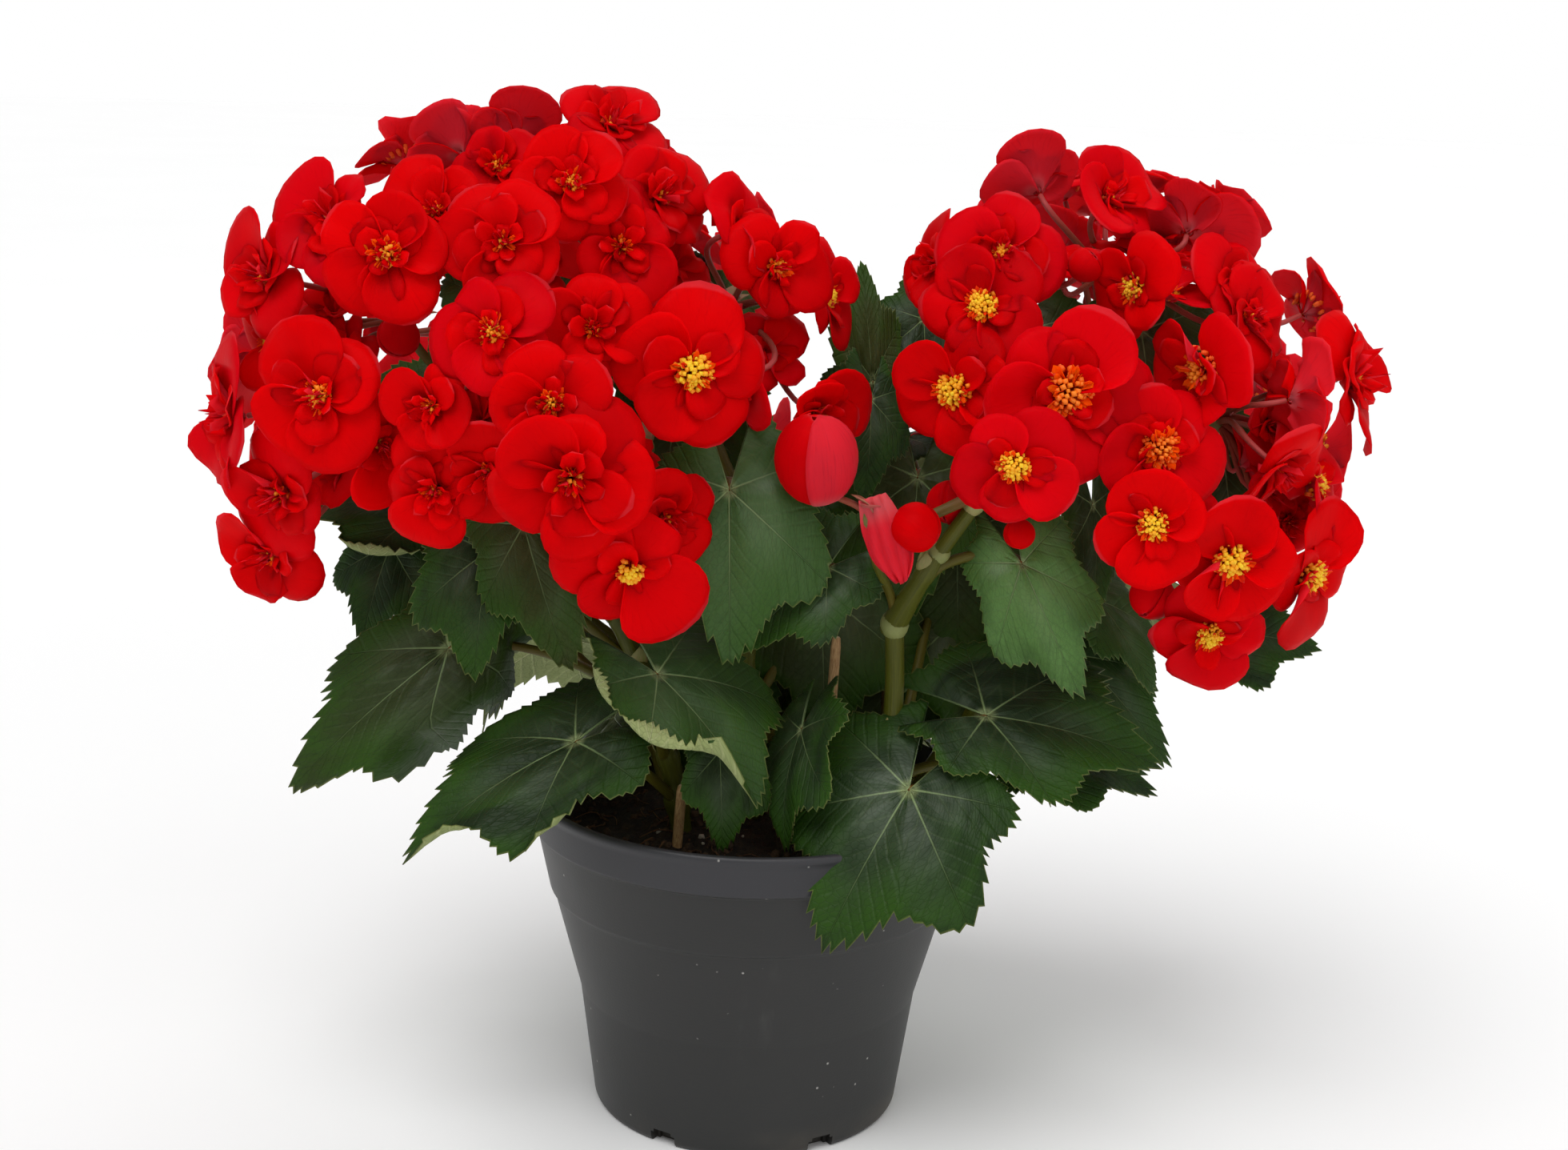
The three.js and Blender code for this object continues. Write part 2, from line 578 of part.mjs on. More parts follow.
// One bloom on its stalk: broad petals in one cupped and waved sheet, with deep notches between them.
// A full bloom has a raised heart and a large one a hollow down each petal; a plain one has neither,
// and a straight stalk.
function stalkedBloom(bloom, hub, spin, grow = 0) {
  const [x, y, z, turn, rise, radius, cup, petals, far = false] = bloom;
  const plain = far || radius < SMALL_BLOOM;
  const hollow = radius >= LARGE_BLOOM;
  const out = facing(turn, rise);
  const right = V(0, 0, 1).cross(out).negate().normalize();
  const above = out.clone().cross(right);
  const slope = rad(cup);
  const sector = (2 * Math.PI) / petals;
  const centre = V(x, y, z);
  const place = (angle, reach, lift) => {
    const share = reach / radius;
    const lean = slope * (1.25 - 0.5 * share);
    const height = reach * Math.sin(lean) + radius * (lift - 0.1 * share ** 3);
    return centre.clone()
      .addScaledVector(right, reach * Math.cos(lean) * Math.cos(angle))
      .addScaledVector(above, reach * Math.cos(lean) * Math.sin(angle))
      .addScaledVector(out, height);
  };
  const sheet = [centre.clone()];
  const raise = [plain ? 0 : CENTRE_RISE * radius];
  const lobes = [];
  for (let i = 0; i < petals; i += 1) {
    const middle = spin + i * sector;
    const long = radius * (i % 2 === 0 ? 1 : SHORT_PETAL) + grow;
    const half = 0.45 * sector + grow / radius;
    const notch = sheet.length;
    sheet.push(place(middle - sector / 2, PETAL_NOTCH * radius + grow, -0.02));
    sheet.push(place(middle - half, PETAL_SIDE * long, 0.09));
    sheet.push(place(middle, long, 0));
    sheet.push(place(middle + half, PETAL_SIDE * long, -0.04));
    const heart = plain ? 0 : sheet.length;
    if (!plain) {
      raise[heart] = HEART_RISE * radius;
      sheet.push(place(middle, HEART_RADIUS * radius, 0));
    }
    const dip = sheet.length;
    if (hollow) sheet.push(place(middle, PETAL_DIP * long, -0.05));
    lobes.push({ heart, notch, edge: [notch, notch + 1, notch + 2, notch + 3], dip });
  }
  const radiusAt = PEDICEL_RADIUS + grow;
  const under = centre.clone().addScaledVector(out, -PETAL_THICKNESS / 2 - grow);
  const collar = lobes.map((_, i) => under.clone()
    .addScaledVector(right, radiusAt * Math.cos(spin + i * sector))
    .addScaledVector(above, radiusAt * Math.sin(spin + i * sector)));
  const faces = [];
  const beneath = [];
  lobes.forEach((lobe, i) => {
    const next = lobes[(i + 1) % petals];
    const outline = [...lobe.edge, next.notch];
    const neck = sheet.length + i;
    const neckAfter = sheet.length + ((i + 1) % petals);
    const fan = (from) => outline.slice(1).map((point, k) => [from, outline[k], point]);
    const throughDip = (from) => [
      [from, lobe.notch, lobe.dip],
      [from, lobe.dip, next.notch],
      ...fan(lobe.dip),
    ];
    if (!plain) faces.push([0, lobe.heart, next.heart], [lobe.heart, next.notch, next.heart]);
    faces.push(...(hollow ? throughDip(lobe.heart) : fan(lobe.heart)));
    beneath.push([neck, next.notch, neckAfter], ...(hollow ? throughDip(neck) : fan(neck)));
  });
  const root = V(...hub);
  const outward = centre.clone().sub(root).normalize();
  const end = root.clone().addScaledVector(outward, PEDICEL_REACH);
  const arrive = outward.clone().negate().add(V(0, 0, -0.4)).normalize();
  const path = far ? [under, end] : bend(under, out.clone().negate(), end, arrive, 2);
  return stalkedBlade({
    sheet, faces, under: beneath, rim: lobes.flatMap((lobe) => lobe.edge), raise, collar, path,
    radii: path.map(() => radiusAt), thickness: PETAL_THICKNESS + 2 * grow,
  });
}

function flowerSpray(spray, grow = 0) {
  const knob = new THREE.OctahedronGeometry(HUB_RADIUS + grow, 0);
  knob.translate(...spray.hub);
  const blooms = spray.blooms.map((bloom, i) => stalkedBloom(bloom, spray.hub, 0.9 * i + bloom[0], grow));
  return join([solidFrom(knob), ...blooms]);
}

const allSprays = { ...SPRAYS };
for (const [name, rule] of Object.entries(BACK_SPRAYS)) {
  allSprays[name] = { hub: rule.hub, blooms: backBlooms(rule) };
}

// Soil: a low mound with a plain hole for each stem and stick
const STICKS = {
  stick_left: { foot: [-25, -40, 50], top: [-22, -38, 120] },
  stick_right: { foot: [22, -18, 50], top: [25, -21, 165] },
};

function soilSolid() {
  const wall = POT_INSIDE.slice(1, 3).map(([r, z]) => [r - GAP, z]);
  const profile = [[0, SOIL_TOP + 2], [34, SOIL_TOP + 1], [BAND_RADIUS - WALL - 2.4, SOIL_TOP - 2], ...wall,
    [BASE_RADIUS - WALL - GAP, FLOOR + GAP], [0, FLOOR + GAP]];
  const outline = profile.reverse().map(([r, z]) => new THREE.Vector2(r, z));
  const mound = new THREE.LatheGeometry(outline, POT_SIDES);
  mound.rotateX(Math.PI / 2);
  let soil = solidFrom(mound);
  for (const { spine } of Object.values(LEAFY_STEMS)) soil = soil.subtract(spineSolid(spine, GAP));
  for (const { foot, top } of Object.values(STICKS)) {
    soil = soil.subtract(limb([V(...foot), V(...top)], [STICK_RADIUS, STICK_RADIUS], 8, GAP));
  }
  return soil;
}

// Finishes
const MATERIALS = {
  pot: new THREE.MeshStandardMaterial({ name: "dark_grey_plastic", color: 0x3d3e41, roughness: 0.55 }),
  soil: new THREE.MeshStandardMaterial({ name: "dark_soil", color: 0x2c2119, roughness: 0.95 }),
  stick: new THREE.MeshStandardMaterial({ name: "light_wood", color: 0xc49a62, roughness: 0.7 }),
  leaf: new THREE.MeshStandardMaterial({ name: "dark_green_leaf", color: 0x3d5a38, roughness: 0.45 }),
  petal: new THREE.MeshStandardMaterial({ name: "red_petal", color: 0xc4060f, roughness: 0.5 }),
};
Object.values(MATERIALS).forEach((material) => {
  material.metalness = 0;
});

const group = new THREE.Group();

function addPart(name, solid, material) {
  const mesh = new THREE.Mesh(geometryFrom(largestBody(solid)), material);
  mesh.name = name;
  group.add(mesh);
}

addPart("pot", potSolid(), MATERIALS.pot);
addPart("soil", soilSolid(), MATERIALS.soil);
for (const [name, { foot, top }] of Object.entries(STICKS)) {
  addPart(name, limb([V(...foot), V(...top)], [STICK_RADIUS, STICK_RADIUS], 8), MATERIALS.stick);
}

// Each spray and stem is cut clear of those before it
const before = [];
function clearOf(solid) {
  let rest = solid;
  for (const other of before) rest = rest.subtract(other);
  return rest;
}
before.push(potSolid());
for (const [name, stem] of Object.entries(LEAFY_STEMS)) {
  addPart(`leafy_stem_${name}`, clearOf(leafyStem(stem)), MATERIALS.leaf);
  before.push(leafyStem(stem, GAP));
}
for (const [name, spray] of Object.entries(allSprays)) {
  addPart(`flowers_${name}`, clearOf(flowerSpray(spray)), MATERIALS.petal);
  before.push(flowerSpray(spray, GAP));
}

export default group;
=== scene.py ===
import math

import bmesh
import bpy
import numpy as np
from mathutils import Matrix, Vector, noise


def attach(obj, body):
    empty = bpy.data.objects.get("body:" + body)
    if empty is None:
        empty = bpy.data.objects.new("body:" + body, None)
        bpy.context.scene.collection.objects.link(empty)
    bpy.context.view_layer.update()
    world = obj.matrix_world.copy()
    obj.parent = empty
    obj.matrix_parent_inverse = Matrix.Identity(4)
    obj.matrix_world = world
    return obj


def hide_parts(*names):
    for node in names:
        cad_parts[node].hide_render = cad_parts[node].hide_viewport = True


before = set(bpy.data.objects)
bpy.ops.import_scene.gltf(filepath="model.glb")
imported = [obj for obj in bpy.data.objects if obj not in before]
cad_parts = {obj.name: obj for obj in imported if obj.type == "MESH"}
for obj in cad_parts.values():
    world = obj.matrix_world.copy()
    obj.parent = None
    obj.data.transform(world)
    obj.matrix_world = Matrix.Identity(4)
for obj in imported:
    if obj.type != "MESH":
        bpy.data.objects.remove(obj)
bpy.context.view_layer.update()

# Lengths are in millimetres, as in the part's source. MM scales meshes to metres when they are made.
MM = 0.001
GOLDEN_TURN = math.radians(137.508)
UP = np.array([0.0, 0, 1])


def facing(turn, rise):
    """A direction from its turn round the pot (0 faces the front, 90 is +X) and its rise, in degrees."""
    t, r = math.radians(turn), math.radians(rise)
    return np.array([math.sin(t) * math.cos(r), -math.cos(t) * math.cos(r), math.sin(r)])


def unit(v):
    return v / np.linalg.norm(v)


def square_to(v, axis):
    """The part of v at right angles to axis, as a unit vector."""
    return unit(v - axis * np.dot(v, axis))


def bend(start, leave, end, arrive, steps):
    """Points on a curve that leaves start along leave and comes in to end along arrive."""
    reach = np.linalg.norm(end - start) / 2.6
    t = np.linspace(0, 1, steps + 1)[:, None]
    a, b = start + leave * reach, end - arrive * reach
    return (1 - t) ** 3 * start + 3 * t * (1 - t) ** 2 * a + 3 * t ** 2 * (1 - t) * b + t ** 3 * end


def through(knots, steps):
    """A smooth line through rows of numbers, with a few points between each two of them."""
    knots = np.array(knots, float)
    padded = np.vstack([2 * knots[0] - knots[1], knots, 2 * knots[-1] - knots[-2]])
    rows = []
    for i in range(1, len(padded) - 2):
        p0, p1, p2, p3 = padded[i - 1:i + 3]
        for t in np.arange(steps) / steps:
            rows.append(0.5 * (2 * p1 + (p2 - p0) * t + (2 * p0 - 5 * p1 + 4 * p2 - p3) * t ** 2
                               + (3 * p1 - p0 - 3 * p2 + p3) * t ** 3))
    rows.append(knots[-1])
    return np.array(rows)


def seeded(seed):
    """The same run of draws from 0 to 1 as the part's source has."""
    state = seed * 2654435761 % 2 ** 32
    while True:
        state = (state * 1664525 + 1013904223) % 2 ** 32
        yield state / 2 ** 32


class Growth:
    """Gathers the blades, tubes and beads of one piece. `place` says where a point lies on its petal, leaf or
    stem, and `mark` how that one is tinted. The finishes read both. A triangle's fourth corner is -1."""

    def __init__(self):
        self.points, self.place, self.mark, self.faces, self.finish = [], [], [], [], []
        self.count = 0

    def add(self, points, faces, finish, place, mark):
        """Adds a body by its points and faces. It has one finish, or one for each face."""
        self.points.append(points)
        self.place.append(place)
        self.mark.append(np.broadcast_to(np.array(mark, float), points.shape))
        self.faces.append(np.where(faces < 0, -1, faces + self.count))
        self.finish.append(np.broadcast_to(finish, len(faces)))
        self.count += len(points)

    def piece(self, name, finishes, slot, node):
        """Makes the piece's mesh of all that was added."""
        faces = np.vstack(self.faces)
        used = faces >= 0
        starts = np.concatenate([[0], np.cumsum(used.sum(1))[:-1]])
        mesh = bpy.data.meshes.new(name)
        mesh.vertices.add(self.count)
        mesh.vertices.foreach_set("co", (np.vstack(self.points) * MM).ravel())
        mesh.loops.add(int(used.sum()))
        mesh.loops.foreach_set("vertex_index", faces[used])
        mesh.polygons.add(len(faces))
        mesh.polygons.foreach_set("loop_start", starts)
        mesh.polygons.foreach_set("material_index", np.concatenate(self.finish))
        mesh.update(calc_edges=True)
        mesh.validate()
        mesh.shade_smooth()
        for key, rows in (("place", self.place), ("mark", self.mark)):
            attribute = mesh.attributes.new(key, "FLOAT_VECTOR", "POINT")
            attribute.data.foreach_set("vector", np.vstack(rows).ravel())
        hand_over(name, mesh, finishes, node)


def stand(name, data):
    """An object of this mesh, lamp or camera, in the scene."""
    thing = bpy.data.objects.new(name, data)
    bpy.context.scene.collection.objects.link(thing)
    return thing


def hand_over(name, mesh, finishes, node):
    """Makes the piece that stands for a CAD node."""
    piece = stand(name, mesh)
    for finish in finishes:
        mesh.materials.append(finish)
    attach(piece, "root")
    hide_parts(node)


def grid_faces(rows, columns):
    """The faces of a sheet of points in rows and columns."""
    i, j = np.meshgrid(np.arange(rows - 1), np.arange(columns - 1), indexing="ij")
    a = (i * columns + j).ravel()
    return np.stack([a, a + 1, a + columns + 1, a + columns], 1)


def ring_faces(rings, sides):
    """The faces between rings of points, from each ring to the next."""
    i, s = np.meshgrid(np.arange(rings - 1), np.arange(sides), indexing="ij")
    a, b = (i * sides + s).ravel(), (i * sides + (s + 1) % sides).ravel()
    return np.stack([a, b, b + sides, a + sides], 1)


def fan(middle, first, second):
    """Triangles from one point to each pair of others."""
    return np.stack([np.full_like(first, middle), first, second, np.full_like(first, -1)], 1)


def pointed_faces(rings, sides):
    """The faces between rings, and those from the outer rings to the two end points that come after them."""
    s = np.arange(sides)
    after, end, low = (s + 1) % sides, (rings - 1) * sides, rings * sides
    return np.vstack([ring_faces(rings, sides), fan(low, after, s), fan(low + 1, end + s, end + after)])


def full_turn(sides):
    """The angles of that many sides, in radians."""
    return np.linspace(0, 2 * math.pi, sides, endpoint=False)


def circle(radius, z, sides):
    """Points at even steps round the pot's axis."""
    turn = full_turn(sides)
    return np.stack([radius * np.cos(turn), radius * np.sin(turn), np.full(sides, float(z))], 1)


def blade(growth, sheet, thickness, finishes, place, mark):
    """A thin closed blade round the sheet, whose rows run one way round the base and columns outward. It has
    the first finish on top and round its rim, and the second below."""
    rows, columns, _ = sheet.shape
    normal = np.cross(np.gradient(sheet, axis=1), np.gradient(sheet, axis=0))
    normal /= np.maximum(np.linalg.norm(normal, axis=2, keepdims=True), 1e-9)
    half = normal * np.broadcast_to(thickness, (rows, columns))[..., None] / 2
    index = np.arange(rows * columns).reshape(rows, columns)
    ring = np.concatenate([index[0, :-1], index[:-1, -1], index[-1, :0:-1], index[:0:-1, 0]])
    after, below = np.roll(ring, -1), rows * columns
    top = grid_faces(rows, columns)
    parts = [top, top[:, ::-1] + below, np.stack([after, ring, ring + below, after + below], 1)]
    finish = np.repeat([finishes[0], finishes[1], finishes[0]], [len(part) for part in parts])
    points = np.vstack([(sheet + half).reshape(-1, 3), (sheet - half).reshape(-1, 3)])
    growth.add(points, np.vstack(parts), finish, np.tile(place.reshape(-1, 3), (2, 1)), (*mark, 0))


def plain_place(k, u):
    """Where the points of a narrow blade lie, from the shares k across it and u along it."""
    along, across = np.broadcast_arrays(u, k)
    return np.stack([along, across, along], 2)


def across_and_along(rows, columns):
    """Shares across a blade from -1 to 1, as a column, and along it from 0 to 1, as a row."""
    return np.linspace(-1, 1, rows)[:, None], np.linspace(0, 1, columns)


def strip(growth, base, tip, face, k, u, half, lift, thickness, finish, mark, blunt=0.0):
    """A narrow blade from base to tip, `half` wide to each side of that line and lifted off it towards face.
    Its sides end short of its tip by the share `blunt`."""
    along = tip - base
    up = square_to(face, unit(along))
    aside = np.cross(up, unit(along))
    reach = u * (1 - blunt * k ** 2)
    sheet = base + reach[..., None] * along + (k * half)[..., None] * aside + lift[..., None] * up
    blade(growth, sheet, thickness, (finish, finish), plain_place(k, u), mark)


def bract(growth, base, tip, face, width, form, mark):
    """A small pointed scale, such as grows at a joint."""
    broadest, blunt, arch, cup, thickness, finish = form
    k, u = across_and_along(7, 7)
    half = width / 2 * (np.sin(math.pi * u ** broadest) ** 0.8 + blunt) * (1 - u ** 6)
    lift = arch * np.linalg.norm(tip - base) * np.sin(math.pi * u) + cup * half * k ** 2
    strip(growth, base, tip, face, k, u, half, lift, thickness, finish, mark)


def tube(growth, path, radii, sides, finish, mark, lobes=0.0):
    """A closed tube with rounded ends. `place` holds the share along it, the turn round it and its radius."""
    path, radii = np.asarray(path, float), np.asarray(radii, float)
    first, last = unit(path[1] - path[0]), unit(path[-1] - path[-2])
    path = np.vstack([path[0] - first * radii[0] * 0.45, path[0] - first * radii[0] * 0.3, path,
                      path[-1] + last * radii[-1] * 0.3, path[-1] + last * radii[-1] * 0.45])
    radii = np.concatenate([[radii[0] * 0.1, radii[0] * 0.7], radii, [radii[-1] * 0.7, radii[-1] * 0.1]])
    ahead = np.gradient(path, axis=0)
    ahead /= np.linalg.norm(ahead, axis=1, keepdims=True)
    side = np.cross([0.0, 1.0, 0.0], ahead[0])
    side = side if np.linalg.norm(side) > 0.2 else np.cross([1.0, 0.0, 0.0], ahead[0])
    turn = full_turn(sides)
    rings = []
    for centre, along, radius in zip(path, ahead, radii):
        side = square_to(side, along)
        other = np.cross(along, side)
        reach = radius * (1 + lobes * np.cos(5 * turn))[:, None]
        rings.append(centre + reach * (np.cos(turn)[:, None] * side + np.sin(turn)[:, None] * other))
    count = len(path)
    s, top = np.arange(1, sides - 1), (count - 1) * sides
    faces = np.vstack([ring_faces(count, sides), fan(0, s + 1, s), fan(top, top + s, top + s + 1)])
    share = np.repeat(np.linspace(0, 1, count), sides)
    place = np.stack([share, np.tile(turn, count), np.repeat(radii, sides)], 1)
    growth.add(np.vstack(rings), faces, finish, place, mark)


def bead(growth, centre, axis, length, width, finish, mark, sides=5, rings=3):
    """A small egg-shaped body, such as an anther or a swollen joint."""
    polar = np.linspace(0, math.pi, rings + 2)[1:-1]
    along, out = -np.cos(polar), np.sin(polar) * (1 - 0.12 * np.cos(polar))
    side = square_to(np.array([0.31, 0.87, 0.38]), axis)
    other = np.cross(axis, side)
    turn = full_turn(sides)
    ring = np.cos(turn)[:, None] * side + np.sin(turn)[:, None] * other
    shell = (along * length / 2)[:, None, None] * axis + (out * width / 2)[:, None, None] * ring
    points = centre + np.vstack([shell.reshape(-1, 3), -axis * length / 2, axis * length / 2])
    share = np.concatenate([np.repeat((along + 1) / 2, sides), [0, 1]])
    place = np.stack([share, np.append(np.tile(turn, rings), [0, 0]), share], 1)
    growth.add(points, pointed_faces(rings, sides), finish, place, mark)


# The stems: a spine, leaves and the names of sprays, as in the part's source but for a few leaves moved to
# match the photograph. A spine is rows of x, y, z and radius. A leaf is how far up the spine its stalk grows,
# its hub, the turn and rise of its tip and of its face, its length, width, lean and shade, and its folds. The
# shade runs from -1, olive, through 0, dark green, to 1, bright green. A fold is a stretch of the edge, in
# degrees round the hub, that curls over by so many radians from a share of the way out, given for its two ends.
# A low shade also darkens the under side of a leaf, as painted shade deep inside the plant.
LEAFY_STEMS = {
    "front_left": (
        [(-20, -22, 66, 3.2), (-24, -26, 112, 3.4), (-34, -32, 150, 3), (-50, -34, 188, 2.6)],
        [(1, (-53, -62, 141), (-71, -24), (-21, 55), 54, 0.66, 0, -0.1, (2, 34, 1.9, 0.84, 0.78),
          (50, 92, 1.9, 0.82, 0.84)),
         (1.4, (-29, -62, 163), (60, -35), (32, 52), 44, 0.9, 1, 0.4, (-158, -3, 2.5, 0.84, 0.66)),
         (1.8, (-96, -30, 160), (-70, -36), (-6, 31), 59, 0.6, 1, -0.45, (30, 158, -1.6, 0.5, 0.45)),
         (2.2, (-82, -46, 195), (-3, -56), (6, 33), 34, 0.75, -1, -0.2),
         (2.6, (-70, -52, 205), (39, -61), (-9, 20), 40, 0.75, 1, -0.7),
         (0.95, (-10, -54, 137), (12, -68), (9, 22), 27, 0.7, 1, -0.2)],
        ("left_front", "left_top")),
    "centre": (
        [(0, -4, 66, 3.2), (0, -10, 115, 3.4), (-4, -18, 165, 3), (0, -22, 205, 2.6)],
        [(2.4, (-9, -58, 219), (6, -69), (1, 21), 45, 0.8, 1, 0.52),
         (1.9, (21, -52, 195), (-68, -36), (-9, 35), 34, 0.83, -1, 0.3),
         (1.2, (15, -46, 142), (-33, -57), (-61, 30), 32, 0.72, 1, 0.2),
         (2.8, (34, 0, 244), (-150, 76), (-3, 15), 36, 0.42, 1, -0.9),
         (2.6, (33, -14, 240), (3, -65), (15, 25), 28, 0.7, -1, 0.2)],
        ("left_upper_right", "left_lower_right")),
    "front_right": (
        [(40, -30, 66, 3.2), (42, -36, 115, 3.3), (43, -40, 152, 3), (42, -45, 174, 3),
         (42, -45, 177, 4), (51, -58, 198, 2.6), (63, -62, 218, 2.2)],
        [(0.9, (48, -58, 128), (-47, -47), (-18, 39), 49, 0.98, 0, 0.05),
         (1.6, (71, -48, 149), (80, -4), (-4, 52), 49, 0.78, 1, 0.1),
         (4.9, (78, -60, 200), (41, -53), (-11, 25), 39, 0.62, 0, 1),
         (1.2, (88, -30, 132), (84, -7), (6, 58), 38, 0.7, 1, 0)],
        ("middle_buds", "right_lower_left")),
    "right": (
        [(38, 6, 66, 3.2), (58, 4, 112, 3.4), (86, -4, 160, 3), (104, -10, 200, 2.6)],
        [(2.2, (107, -18, 179), (49, -41), (23, 46), 30, 0.6, 1, 0.5),
         (2.8, (101, -34, 213), (19, -68), (29, 22), 33, 0.5, -1, -0.3),
         (2.5, (147, -10, 168), (82, -1), (-7, 43), 30, 0.9, 1, 0),
         (1.7, (103, -4, 157), (67, -38), (17, 39), 42, 0.6, -1, 0.3)],
        ("right_front", "right_side")),
    "back_left": (
        [(-24, 20, 66, 3.2), (-34, 30, 115, 3.4), (-52, 36, 165, 3), (-66, 34, 205, 2.6)],
        [(1, (-68, 52, 142), (-128, -26), (-178, 48), 52, 0.95, 1, 0.1),
         (0.95, (-28, 72, 132), (172, -30), (-178, 46), 52, 0.9, -1, 0),
         (1.5, (-105, 14, 198), (-84, 0), (-8, 48), 45, 0.62, 1, -0.1, (10, 150, 1.9, 0.81, 0.79)),
         (1.9, (-56, 74, 184), (-160, -56), (180, 32), 44, 0.9, -1, 0.2),
         (1.6, (-121, 11, 183), (-34, -60), (-18, 30), 31, 0.85, 1, 0)],
        ("left_back", "left_side", "left_low_side")),
    "back_right": (
        [(24, 26, 66, 3.2), (34, 36, 115, 3.4), (60, 40, 165, 3), (84, 34, 205, 2.6)],
        [(0.95, (24, 78, 138), (160, -28), (178, 48), 54, 0.95, 1, 0.2),
         (1.1, (74, 60, 144), (124, -26), (170, 50), 52, 0.9, -1, 0),
         (1.6, (114, 36, 174), (108, -28), (150, 50), 46, 0.9, 1, 0.1),
         (1.9, (50, 76, 192), (160, -54), (176, 34), 42, 0.9, -1, 0.3),
         (1.4, (8, 64, 198), (-170, -46), (180, 40), 42, 0.9, 1, 0)],
        ("right_top", "right_back", "right_upper_left")),
}

# More leaves of those stems, deep inside the plant, which show through the gaps. Their low shade also
# darkens their under sides, as painted shade.
INNER_LEAVES = {
    "front_left": [(2.9, (-100, -6, 232), (-20, -60), (-14, 34), 38, 0.85, -1, -0.6),
                   (0.9, (-46, -2, 130), (-96, -46), (-90, 44), 36, 0.9, 1, -0.3)],
    "centre": [(1.5, (20, 2, 174), (10, -68), (0, 38), 46, 0.9, 1, -0.5),
               (0.9, (-14, 6, 152), (-10, -68), (-6, 38), 40, 0.9, -1, -0.5),
               (2.9, (-30, 6, 262), (10, -58), (0, 35), 40, 0.85, 1, -0.6),
               (2.2, (12, 20, 212), (60, -16), (10, 74), 38, 0.9, 1, -0.2),
               (0.8, (6, 26, 152), (4, -68), (0, 30), 44, 0.95, 1, -0.6),
               (2.6, (-28, 8, 234), (-14, -62), (-8, 32), 38, 0.95, 1, -0.5)],
    "front_right": [(1.2, (64, 16, 192), (6, -66), (0, 32), 40, 0.95, 1, -0.6),
                    (0.8, (44, 20, 150), (4, -68), (0, 30), 44, 0.95, -1, -0.6)],
    "right": [(1.2, (66, 10, 166), (20, -65), (4, 38), 44, 0.9, 1, -0.5),
              (2, (50, 6, 212), (-8, -68), (-4, 32), 42, 0.85, -1, -0.6),
              (2.9, (118, 2, 262), (10, -58), (8, 35), 38, 0.85, 1, -0.6),
              (0.9, (78, 14, 134), (84, -46), (88, 44), 38, 0.9, 1, -0.2),
              (1.7, (106, 20, 182), (104, -58), (96, 32), 42, 0.9, -1, -0.2),
              (2.8, (147, 6, 224), (16, -62), (12, 32), 34, 0.9, -1, -0.4)],
    "back_left": [(2.9, (-86, 8, 264), (-10, -58), (-8, 36), 38, 0.85, 1, -0.6),
                  (1.3, (-74, 18, 160), (-98, -58), (-92, 32), 42, 0.9, 1, -0.3),
                  (0.8, (-42, 46, 122), (-116, -40), (-108, 46), 38, 0.9, -1, -0.2)],
    "back_right": [(2.9, (84, 12, 260), (0, -58), (0, 36), 38, 0.85, -1, -0.6),
                   (0.8, (48, 46, 120), (112, -40), (106, 46), 38, 0.9, 1, -0.2),
                   (2.2, (44, 34, 220), (-60, -18), (-20, 72), 38, 0.9, -1, -0.2),
                   (2.9, (50, 14, 262), (6, -60), (4, 34), 30, 0.85, 1, -0.2)],
}

# The pale swollen joints of the stem in front: how far up its spine, and how thick
PALE_JOINTS = {"front_right": ((3.7, 8.9), (5.2, 6.6))}

# The thin stalk beside it, from the lower joint to the hub of the buds in the middle
BUD_STALK = (np.array([42.0, -46, 178]), np.array([-0.1, -0.3, 0.95]), np.array([33.0, -68, 211]),
             np.array([0.0, -0.25, 0.97]))

